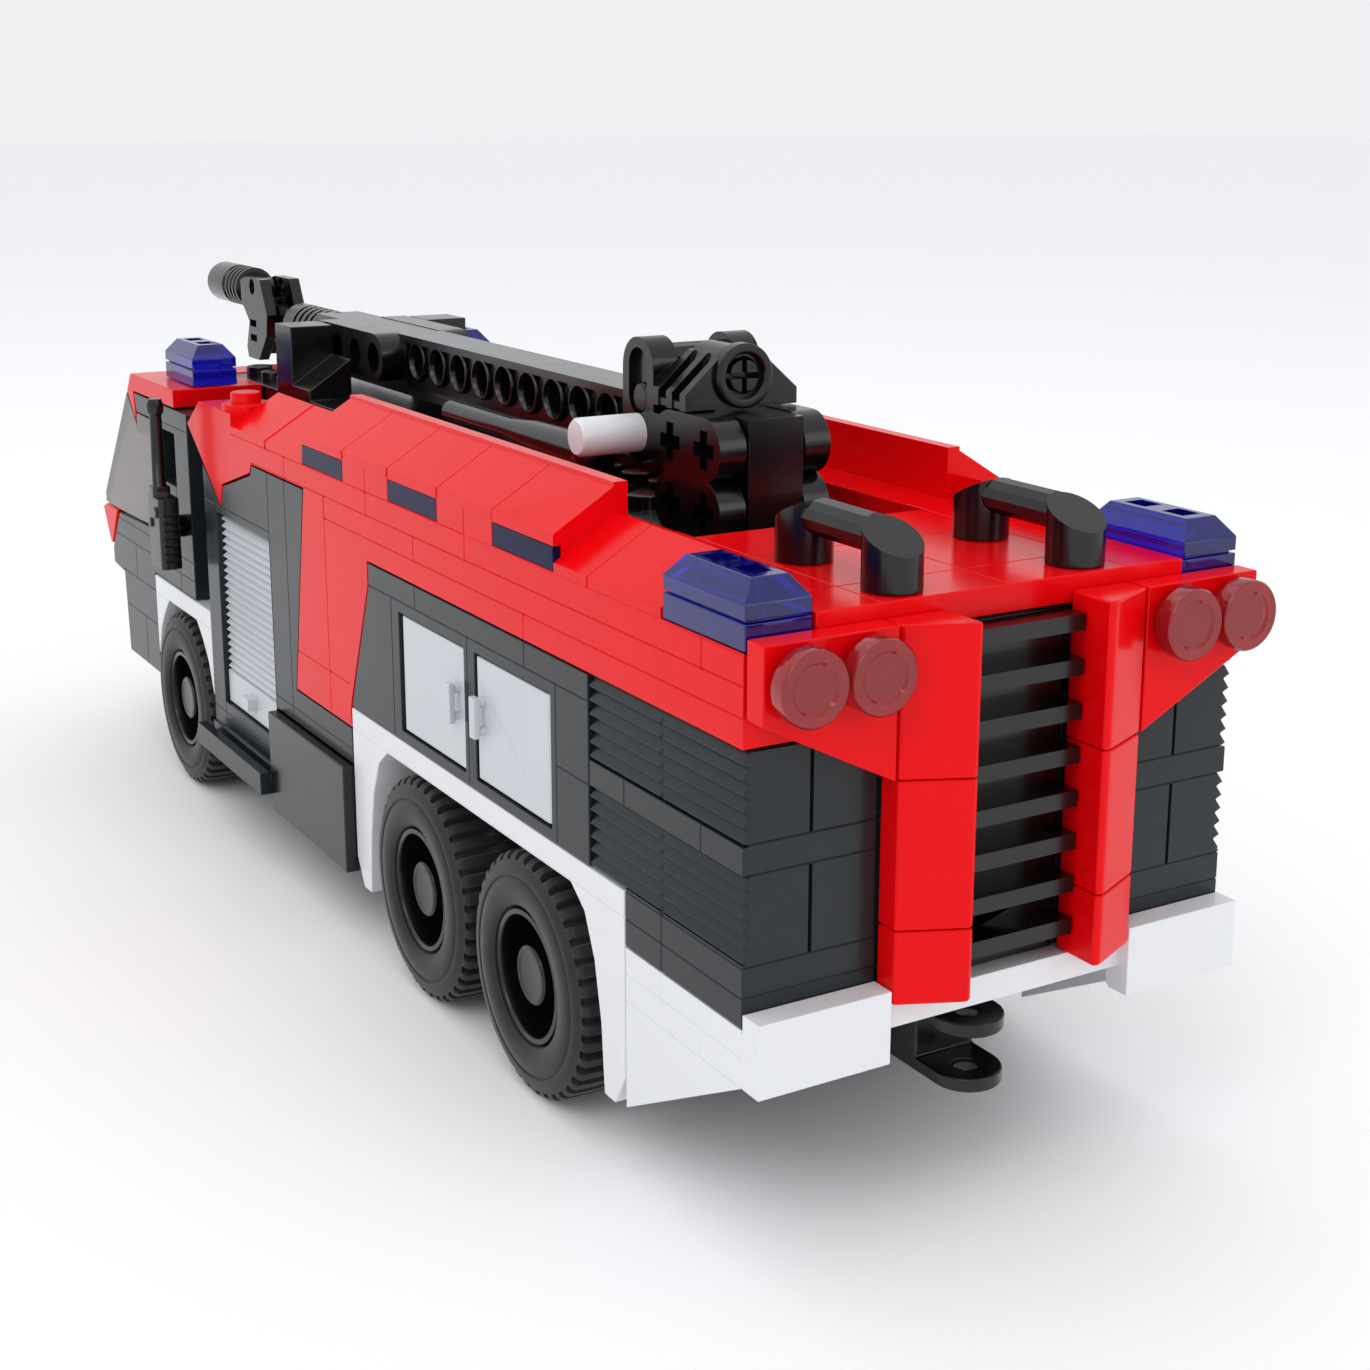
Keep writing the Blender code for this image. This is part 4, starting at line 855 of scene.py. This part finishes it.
@dataclass
class Beacons:
    """Clear blue lamp covers on clear blue plates, with two pockets in each cover."""

    pocket: tuple[float, float] = (3.4, 2.6)

    def build(self, shop: Workshop) -> None:
        """Makes the four beacons."""
        for place, x, y in (("rear", 0.0, 28.0), ("cab", 184.0, 24.0)):
            for side, sign in SIDES:
                node = f"{place}_beacon_{side}"
                top = (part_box(node)[1].z - shop.datum.z) / MM
                pockets = []
                for step in (5.0, 11.0):
                    half_x = self.pocket[0] / 2
                    half_y = self.pocket[1] / 2
                    middle = sign * y
                    pockets.append(
                        slab(
                            (x + step - half_x, x + step + half_x),
                            (middle - half_y, middle + half_y),
                            (top - 0.7, top + 1),
                        )
                    )
                shop.refine(node, BLUE_CLEAR, 0.12, pockets)


@dataclass
class SideFittings:
    """The cupboards and their doors, the roller shutter, its frame, the skirts and the white arches."""

    door_low: float = -20.6
    door_high: float = -5.0
    door_face: float = HALF_WIDTH - 0.2
    door_depth: float = 1.8
    shutter_top: float = -4.7
    shutter_low: float = -36.3
    shutter_x: tuple[float, float] = (136.6, 161.4)
    slats: int = 21
    doors: tuple[tuple[str, float, float, int], ...] = (("rear", 41.7, 61.5, 1), ("front", 65.4, 85.2, -1))

    def door(self, rear: float, front: float, way: int) -> Shape:
        """The left door: a slab rounded about its pin along the hinge edge."""
        radius = self.door_depth / 2
        middle = self.door_face - radius
        hinge = (rear if way > 0 else front) + way * radius
        free = front if way > 0 else rear
        edge = arc((hinge, middle), radius, 90, 90 + way * 180, 10)
        outline = [(free, middle - radius), (free, middle + radius), *edge]
        return prism(outline, "Z", self.door_low, self.door_high)

    def handle(self, rear: float, front: float, way: int) -> Shape:
        """The door's bow handle: an upright bar on two round feet."""
        x = (front if way > 0 else rear) - way * 1.7
        middle = (self.door_low + self.door_high) / 2 + 0.6
        face = self.door_face
        bar = rounded_block((x - 0.75, x + 0.75), (face + 0.85, face + 1.7), (middle - 2.6, middle + 2.6))
        feet = [
            lathe([(0, face - 0.3), (0.6, face - 0.3), (0.6, face + 1.2), (0, face + 1.2)], (x, 0, z), "Y", 16)
            for z in (middle - 1.8, middle + 1.8)
        ]
        return joined([bar, *feet])

    def shutter(self) -> Shape:
        """The closed curtain: each slat leans out over its lower two thirds, above a plain bottom rail."""
        top, low, rail_top = self.shutter_top, self.shutter_low, self.shutter_low + 5.6
        face = HALF_WIDTH - 0.6
        pitch = (top - rail_top) / self.slats
        outline = [(28.7, low), (28.7, top)]
        for i in range(self.slats):
            z = top - i * pitch
            outline += [(face - 0.95, z), (face, z - 0.7 * pitch)]
        outline += [(face - 0.95, rail_top), (face, rail_top - 0.3), (face, low)]
        rear, front = self.shutter_x
        curtain = prism(outline, "X", rear, front)
        middle = (rear + front) / 2
        knob = slab((middle - 1.6, middle + 1.6), (face - 0.3, face + 1.6), (low + 1.8, low + 3.8))
        return joined([curtain, knob])

    def cupboard_lines(self) -> list[Shape]:
        """The joints of the dark bricks round the cupboards."""
        y = HALF_WIDTH
        found = [seam((32, y, -PLATE), (96, y, -PLATE)), seam((32, y, -12.8), (40, y, -12.8))]
        found += [seam((x, y, BELT_TOP), (x, y, -PLATE)) for x in (40.0, 64.0, 88.0)]
        found += [seam((x, y, -PLATE), (x, y, 0)) for x in (48.0, 80.0)]
        return found

    def frame_lines(self) -> list[Shape]:
        """The joints of the dark frame round the shutter."""
        y = HALF_WIDTH
        found = [seam((x, y, -40), (x, y, 6.4)) for x in (128.4, 136.0, 161.9)]
        found += [seam((104, y, z), (136, y, z)) for z in (-28.8, -32.0)]
        found += [seam((136, y, z), (168, y, z)) for z in (-3.2, -38.4)]
        return found

    def build(self, shop: Workshop) -> None:
        """Makes the fittings of both sides."""
        for side, sign in SIDES:
            shop.refine(f"cupboard_frame_{side}", DARK_ABS, 0.12, [s.on(sign) for s in self.cupboard_lines()])
            for name, rear, front, way in self.doors:
                node = f"cupboard_door_{name}_{side}"
                body = f"door_{name}_{side}"
                leaf = self.door(rear, front, way).on(sign)
                shop.make(f"{node}_leaf", leaf, LIGHT_ABS, body, node, bevel=0.14)
                bow = self.handle(rear, front, way).on(sign)
                shop.make(f"{node}_handle", bow, LIGHT_ABS, body, bevel=0.12)
            lines = [s.on(sign) for s in self.frame_lines()]
            shop.refine(f"shutter_frame_{side}", DARK_ABS, 0.12, lines, whole=False)
            curtain = self.shutter().on(sign)
            shop.make(f"shutter_{side}_slats", curtain, LIGHT_ABS, "body", f"roller_shutter_{side}", bevel=0.06)
            shop.refine(f"side_skirt_{side}", BLACK_ABS, 0.25, segments=3)
            y = HALF_WIDTH
            belt = [seam((24, y, -25.6), (104, y, -25.6)), seam((64, y, -25.6), (64, y, -22.4))]
            belt.append(seam((96.4, y, -33), (104, y, -33)))
            shop.refine(f"rear_arch_{side}", WHITE_ABS, 0.16, [s.on(sign) for s in belt])
            front = [seam((168, y, -25.6), (200, y, -25.6)), seam((184, y, -25.6), (184, y, -22.4))]
            shop.refine(f"front_arch_{side}", WHITE_ABS, 0.16, [s.on(sign) for s in front])


# ------------------------------------------------------------------ roof gear


@dataclass
class RoofGear:
    """The well, the boom's stand, the boom with its ringed holes and the nozzle."""

    boom_half: float = 3.85
    ring_radius: float = 3.25
    recess: float = 0.75
    hole_radius: float = 2.4

    def platform_studs(self) -> list[Shape]:
        """Studs where the black plates are bare: on the well's floor and behind the cab."""
        floor = 6.25
        step = 12.65
        studs = [stud(x, y, floor) for x in np.arange(84.0, 141.0, STUD) for y in (-12.0, -4.0, 4.0, 12.0)]
        studs += [stud(x, y, step) for x in (180.0, 188.0, 196.0) for y in (-12.0, 12.0)]
        return studs

    def pocket_cutter(self, first: float, last: float) -> Shape:
        """The left side's long recess, from which the rings round the holes stay proud."""
        return slab((first, last), (self.boom_half - self.recess, self.boom_half + 1), (15.5, 22.9))

    def ring_profile(self) -> list[tuple[float, float]]:
        """Half the section of a ring boss: a rounded rim round a hole, with a step inside."""
        r = self.ring_radius
        out = self.boom_half - 0.02
        hole = self.hole_radius
        root = self.boom_half - self.recess - 0.2
        return [(hole, root), (r, root), (r, out - 0.2), (r - 0.2, out), (hole + 0.35, out), (hole, out - 0.55)]

    def boom_rings(self) -> list[Shape]:
        """A ring on each face of the beam at every hole."""
        rings = []
        for x in np.arange(72.0, 145.0, STUD):
            ring = lathe(self.ring_profile(), (x, 0.0, BOOM_AXIS_Z), "Y", 28)
            rings += [ring, ring.mirrored()]
        return rings

    def cross_hole(self, x: float, z: float, y: Point) -> list[Shape]:
        """A cross-shaped hole: two slots at right angles."""
        long, thin = 2.35, 0.85
        return [
            slab((x - long, x + long), y, (z - thin, z + thin)),
            slab((x - thin, x + thin), y, (z - long, z + long)),
        ]

    def stand_cutters(self) -> list[Shape]:
        """Cross holes in the stand's arms, the links' hollows and the bracket's pin hole."""
        cuts = []
        for sign in (1.0, -1.0):
            y = sorted((sign * 7.0, sign * 8.4))
            for x in (BOOM_AXIS_X - 16.0, BOOM_AXIS_X - 8.0):
                for z in (BOOM_AXIS_Z, BOOM_AXIS_Z - 7.6):
                    cuts += self.cross_hole(x, z, y)
            outline = arc((BOOM_AXIS_X, BOOM_AXIS_Z + 8.4), 2.3, 0, 180, 10)
            outline += arc((BOOM_AXIS_X, BOOM_AXIS_Z + 4.6), 2.3, 180, 360, 10)
            cuts.append(prism(outline, "Y", *sorted((sign * 6.9, sign * 8.4))))
        hole = [(0, 51.0), (2.4, 51.0), (2.4, 53.6), (0, 53.6)]
        cuts.append(lathe(hole, (0, 0, BOOM_AXIS_Z + 8.0), "X", 24))
        return cuts

    def stand_adds(self) -> list[Shape]:
        """The split pin in the bracket's hole, the pins in the links and the plain round ends behind the block."""
        axis_z = BOOM_AXIS_Z + 8.0
        collar = [(2.75, 51.3), (3.0, 51.1), (3.75, 51.1), (4.0, 51.3), (4.0, 53.0), (2.75, 53.0)]
        adds = [lathe(collar, (0, 0, axis_z), "X", 40)]
        for start in (0.0, 90.0, 180.0, 270.0):
            middle = math.radians(start + 45.0)
            centre = (0.45 * math.cos(middle), axis_z + 0.45 * math.sin(middle))
            quarter = [centre, *arc(centre, 1.65, start, start + 90.0, 6)]
            adds.append(prism(quarter, "X", 51.4, 54.0))
        for sign in (1.0, -1.0):
            profile = [(0, 6.0), (1.9, 6.0), (1.9, 7.3), (1.6, 7.6), (0, 7.6)]
            head = lathe(profile, (BOOM_AXIS_X, 0, BOOM_AXIS_Z + 4.4), "Y", 24)
            adds.append(head.on(sign))
        return adds

    def white_pin(self) -> Shape:
        """The long white pin through the boom, with a chamfered end."""
        out = 16.7
        r = 2.45
        profile = [(0, 7.9), (r, 7.9), (r, out - 0.4), (r - 0.35, out), (0, out)]
        return lathe(profile, (BOOM_AXIS_X, 0, BOOM_AXIS_Z), "Y", 40)

    def hose(self) -> list[Shape]:
        """The black monitor in the well beside the boom: a tapering barrel with a ringed end and a thin rod."""
        profile = [(0, 66.4), (2.0, 66.4), (2.6, 66.9), (2.75, 68.3), (2.35, 68.9), (2.5, 70.0), (2.3, 84.0)]
        profile += [(1.55, 92.0), (1.55, 112.0), (1.2, 112.4), (0, 112.4)]
        low = [(0, 70.0), (1.6, 70.0), (1.6, 118.0), (0, 118.0)]
        return [lathe(profile, (0, 12.0, 17.0), "X", 28), lathe(low, (0, -11.8, 12.4), "X", 20)]

    def nozzle(self) -> Shape:
        """The nozzle's barrel: ribbed behind, smooth in front, with a deep mouth."""
        axis_x, axis_z = 227.2, 24.9
        back = axis_x + 4.4
        r = 3.88
        profile: list[tuple[float, float]] = [(0, back), (r - 0.7, back)]
        for i in range(4):
            start = back + 0.5 + i * 2.0
            profile += [(r - 0.7, start), (r, start + 0.3), (r, start + 1.0), (r - 0.7, start + 1.3)]
        tip = 250.38
        profile += [(r - 0.7, back + 8.8), (r, back + 9.3), (r, tip - 0.3), (r - 0.3, tip), (r - 0.9, tip)]
        profile += [(r - 1.1, tip - 0.3), (r - 1.3, tip - 7.0), (0, tip - 7.0)]
        return lathe(profile, (0, 0, axis_z), "X", 48)

    def nozzle_neck(self) -> Shape:
        """The flat tongue behind the barrel that turns on the arm's pin."""
        eye = arc((227.2, 24.9), 2.2, 90, 270, 14)
        return prism([*eye, (232.2, 22.7), (232.2, 27.1)], "Y", -1.6, 1.6)

    def head_rings(self) -> list[Shape]:
        """Grooves round the boom's ribbed front joint."""
        found = []
        for i in range(5):
            x = 189.5 + 2.6 * i
            found.append(lathe([(3.2, x), (5.0, x), (5.0, x + 1.1), (3.2, x + 1.1)], (0, 0, BOOM_AXIS_Z), "X", 32))
        return found

    def build(self, shop: Workshop) -> None:
        """Makes the well, stand, boom and nozzle."""
        lines = [seam((x, -24, 6.25), (x, 24, 6.25)) for x in (52.0, 80.0, 112.0)]
        shop.refine("roof_platform", BLACK_ABS, 0.14, lines)
        shop.make("platform_studs", joined(self.platform_studs()), BLACK_ABS, "body", bevel=0)
        shop.make("stowed_monitor", joined(self.hose()), BLACK_ABS, "body", bevel=0)
        shop.refine("boom_stand", BLACK_ABS, 0.16, self.stand_cutters())
        shop.make("stand_pins", joined(self.stand_adds()), BLACK_ABS, "body", bevel=0.1)
        shop.make("boom_pin", self.white_pin(), WHITE_ABS, "body", bevel=0)
        pocket = self.pocket_cutter(68.4, 147.6)
        cuts = [pocket, pocket.mirrored(), *self.head_rings()]
        for x, z in ((152.0, BOOM_AXIS_Z), (176.0, BOOM_AXIS_Z)):
            for sign in (1.0, -1.0):
                cuts += self.cross_hole(x, z, sorted((sign * 6.9, sign * 8.2)))
        shop.refine("boom", BLACK_ABS, 0.18, cuts)
        shop.make("boom_rings", joined(self.boom_rings()), BLACK_ABS, "boom", bevel=0)
        hole = lathe([(0, -4.6), (1.5, -4.6), (1.5, 4.6), (0, 4.6)], (222.6, 0, 26.0), "Y", 20)
        slots = [slab((221.0, 224.6), (-4.6, 4.6), (z, z + 1.3)) for z in (15.6, 18.4)]
        shop.refine("nozzle_arm", BLACK_ABS, 0.22, [hole, *slots], segments=3)
        barrel = joined([self.nozzle(), self.nozzle_neck()])
        shop.make("nozzle_barrel", barrel, BLACK_ABS, "nozzle", "nozzle", bevel=0)


# ------------------------------------------------------------------ cab


@dataclass
class Cab:
    """The dark cab with its smoke windscreen, red roof and front panel, mirrors, lamps and driver's place."""

    rear: float = 176.0
    mirror_y: float = 34.4

    def body_lines(self) -> list[Shape]:
        """The joints of the left side's dark bricks."""
        y = HALF_WIDTH - 0.15
        found = [seam((200, y, z), (221, y, z)) for z in (-25.6, -32.0)]
        found += [seam((176, y, z), (224, y, z)) for z in (-16.0, -19.2)]
        found += [seam((208, y, -41), (208, y, -32)), seam((212, y, -25.6), (212, y, -19.2))]
        found += [seam((184, y, -22), (184, y, -4)), seam((176, y, 6.4), (197, y, 6.4))]
        return found

    def front_lines(self) -> list[Shape]:
        """The joints across the cab's lower front."""
        found = [seam((221, -32, z), (221, 32, z), 0.16) for z in (-32.0,)]
        found += [seam((221, y, -41), (221, y, -26), 0.16) for y in (-16.0, 0.0, 16.0)]
        return found

    def steering_wheel(self) -> Shape:
        """A small wheel on a column in front of the driver's bench."""
        turn = np.linspace(0.0, math.tau, 33)
        rim = np.stack([208.0 + 1.8 * np.sin(turn), 14.0 + 4.2 * np.cos(turn), -9.5 + 3.8 * np.sin(turn)], axis=1)
        ring = sweep(rim, 0.6, 10)
        column = sweep(np.array([(208.0, 14.0, -9.5), (210.0, 14.0, -13.0), (213.0, 14.0, -18.0)]), 0.9, 10)
        spoke = slab((207.2, 208.8), (10.0, 18.0), (-10.0, -9.0))
        return joined([ring, column, spoke])

    def front_lamps(self) -> Shape:
        """Clear round lamps on the cab's front."""
        x = 221.0
        profile = [(0, x + 2.3), (2.6, x + 2.3), (2.9, x + 2.0), (3.7, x + 2.0)]
        profile += [(3.9, x + 1.7), (3.9, x - 0.6), (0, x - 0.6)]
        return joined(lathe(profile, (0, y, -33.0), "X", 40) for y in (-26.0, -17.5, 17.5, 26.0))

    def front_grille(self) -> Shape:
        """Flat bars between the front lamps."""
        return joined(slab((220.0, 222.4), (-12.6, 12.6), (z, z + 1.5)) for z in (-39.0, -35.8, -32.6, -29.4))

    def mirror(self, sign: float) -> tuple[Shape, list[Shape]]:
        """A mirror unit shaped like a hand radio, and the slots of its face."""
        y = self.mirror_y
        x = self.rear - 2.4
        body = rounded_block((x, x + 7.0), (y, y + 3.5), (-16.0, -4.0))
        collar = rounded_block((x + 2.8, x + 6.0), (y + 0.5, y + 3.5), (-4.4, -2.4))
        turn = [(0, -3.0), (1.15, -3.0), (1.0, 9.6), (1.35, 10.0), (1.45, 11.2), (1.1, 12.3), (0, 12.4)]
        aerial = lathe(turn, (x + 4.4, y + 2.0, 0), "Z", 24)
        knob = lathe([(0, 3.3), (1.0, 3.3), (1.0, 3.8), (0.85, 3.95), (0, 3.95)], (x + 1.8, y, -6.4), "Y", 20)
        button = lathe([(0, 3.3), (0.8, 3.3), (0.8, 3.85), (0, 3.85)], (x + 5.2, y, -8.6), "Y", 20)
        stalk = lathe([(0, 32.0), (1.9, 32.0), (1.9, y + 0.4), (0, y + 0.4)], (x + 4.6, 0, -9.6), "Y", 28)
        slots = [slab((x - 0.3, x + 0.5), (y + 0.6, y + 2.9), (-7.0 - 1.3 * i, -6.4 - 1.3 * i)) for i in range(7)]
        shape = joined([body, collar, aerial, knob, button, stalk])
        return shape.on(sign), [s.on(sign) for s in slots]

    def inner_frame(self) -> Shape:
        """The dark brown frame that shows through the windscreen: posts, a rail and a low foot rail."""
        posts = [slab((199.0, 201.6), (s * 28.6 - 1.4, s * 28.6 + 1.4), (-13.4, 3.0)) for s in (1.0, -1.0)]
        rail = slab((201.0, 203.6), (-29.0, 29.0), (-6.4, -3.2))
        rail_foot = slab((214.0, 217.0), (-29.0, 29.0), (-15.8, -12.9))
        return joined([*posts, rail, rail_foot])

    def build(self, shop: Workshop) -> None:
        """Makes the cab and what stands on it."""
        cuts = [s.on(sign) for _, sign in SIDES for s in self.body_lines()]
        shop.refine("cab_body", DARK_ABS, 0.14, [*cuts, *self.front_lines()])
        roof = [seam((183, y, ROOF_EDGE), (209, y, ROOF_EDGE)) for y in (-24.0, 24.0)]
        shop.refine("cab_roof", RED_ABS, 0.16, roof)
        shop.refine("cab_front_panel", RED_ABS, 0.3, segments=3)
        shop.refine("windscreen", SMOKE_CLEAR, 0.12)
        shop.make("cab_inner_frame", self.inner_frame(), BROWN_ABS, "body", bevel=0.15)
        shop.make("steering_wheel", self.steering_wheel(), BLACK_ABS, "body", bevel=0)
        shop.make("front_lamps", self.front_lamps(), LAMP_CLEAR, "body", bevel=0)
        shop.make("front_grille_bars", self.front_grille(), BLACK_ABS, "body", bevel=0.15)
        for side, sign in SIDES:
            shape, slots = self.mirror(sign)
            shop.make(f"mirror_{side}_unit", shape, BLACK_ABS, "body", f"mirror_{side}", bevel=0.12, cutters=slots)


# ------------------------------------------------------------------ studio


@dataclass
class Studio:
    """A pale floor, soft lights and the camera."""

    azimuth: float = 148.97
    elevation: float = 13.414
    roll: float = 0.2008
    focal_mm: float = 53.48
    distance_mm: float = 260.867
    target_mm: tuple[float, float, float] = (60.0, 0.0, 0.0)
    shift: tuple[float, float] = (-0.0164, -0.0710)

    def floor(self) -> None:
        """A wide pale sweep that the truck stands on."""
        mesh = bpy.data.meshes.new("studio_floor")
        half = 6.0
        mesh.from_pydata([(-half, -half, 0), (half, -half, 0), (half, half, 0), (-half, half, 0)], [], [(0, 1, 2, 3)])
        made = bpy.data.objects.new("studio_floor", mesh)
        bpy.context.scene.collection.objects.link(made)
        paint = bpy.data.materials.new("painted_studio_floor")
        paint.use_nodes = True
        shader = paint.node_tree.nodes["Principled BSDF"]
        shader.inputs["Base Color"].default_value = hex_to_linear("#FDFDFE")
        shader.inputs["Roughness"].default_value = 0.75
        mesh.materials.append(paint)

    def world(self) -> None:
        """An even, nearly white surround."""
        world = bpy.data.worlds.new("studio_surround")
        world.use_nodes = True
        background = world.node_tree.nodes["Background"]
        background.inputs["Color"].default_value = hex_to_linear("#F4F5F7")
        background.inputs["Strength"].default_value = 0.96
        bpy.context.scene.world = world
        bpy.context.scene.view_settings.view_transform = "Standard"

    def light(self, name: str, place: Point, size: float, power: float) -> None:
        """A square soft box that faces the truck's middle."""
        lamp = bpy.data.lights.new(name, "AREA")
        lamp.shape = "SQUARE"
        lamp.size = size
        lamp.energy = power
        made = bpy.data.objects.new(name, lamp)
        made.location = place
        aim = Vector((0.0, 0.0, 0.05)) - Vector(place)
        made.rotation_euler = aim.to_track_quat("-Z", "Y").to_euler()
        bpy.context.scene.collection.objects.link(made)

    def camera(self, shop: Workshop) -> None:
        """Stands the camera behind the truck's left rear corner."""
        az, el = math.radians(self.azimuth), math.radians(self.elevation)
        back = Vector((math.cos(el) * math.cos(az), math.cos(el) * math.sin(az), math.sin(el)))
        place = shop.datum + (Vector(self.target_mm) + back * self.distance_mm) * MM
        lens = bpy.data.cameras.new("studio_camera")
        lens.sensor_width = 36.0
        lens.lens = self.focal_mm
        lens.shift_x, lens.shift_y = self.shift
        lens.clip_start = 0.01
        made = bpy.data.objects.new("studio_camera", lens)
        turn = (-back).to_track_quat("-Z", "Y").to_matrix() @ Matrix.Rotation(math.radians(self.roll), 3, "Z")
        made.matrix_world = Matrix.Translation(place) @ turn.to_4x4()
        bpy.context.scene.collection.objects.link(made)
        bpy.context.scene.camera = made

    def build(self, shop: Workshop) -> None:
        """Sets up the floor, surround, lights and camera."""
        self.floor()
        self.world()
        self.light("key_box", (-0.45, 0.55, 0.75), 0.5, 1.5)
        self.light("top_box", (0.15, 0.1, 0.9), 0.7, 1.1)
        self.light("rear_box", (-0.8, -0.35, 0.35), 0.4, 0.6)
        self.camera(shop)


def main() -> None:
    """Builds the truck's sub-assemblies in order and reports each piece."""
    logging.basicConfig(level=logging.INFO, format="%(name)s %(message)s")
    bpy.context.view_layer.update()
    shop = Workshop.from_frame()
    Studio().build(shop)
    for position, x in (("rear", 48.0), ("middle", 80.0), ("front", 184.0)):
        Wheel(position, x).build(shop)
    for assembly in (Chassis(), UpperBody(), RearEnd(), Beacons(), SideFittings(), RoofGear(), Cab()):
        assembly.build(shop)
    LOG.info("%d pieces", shop.made)


if __name__ == "__main__":
    main()
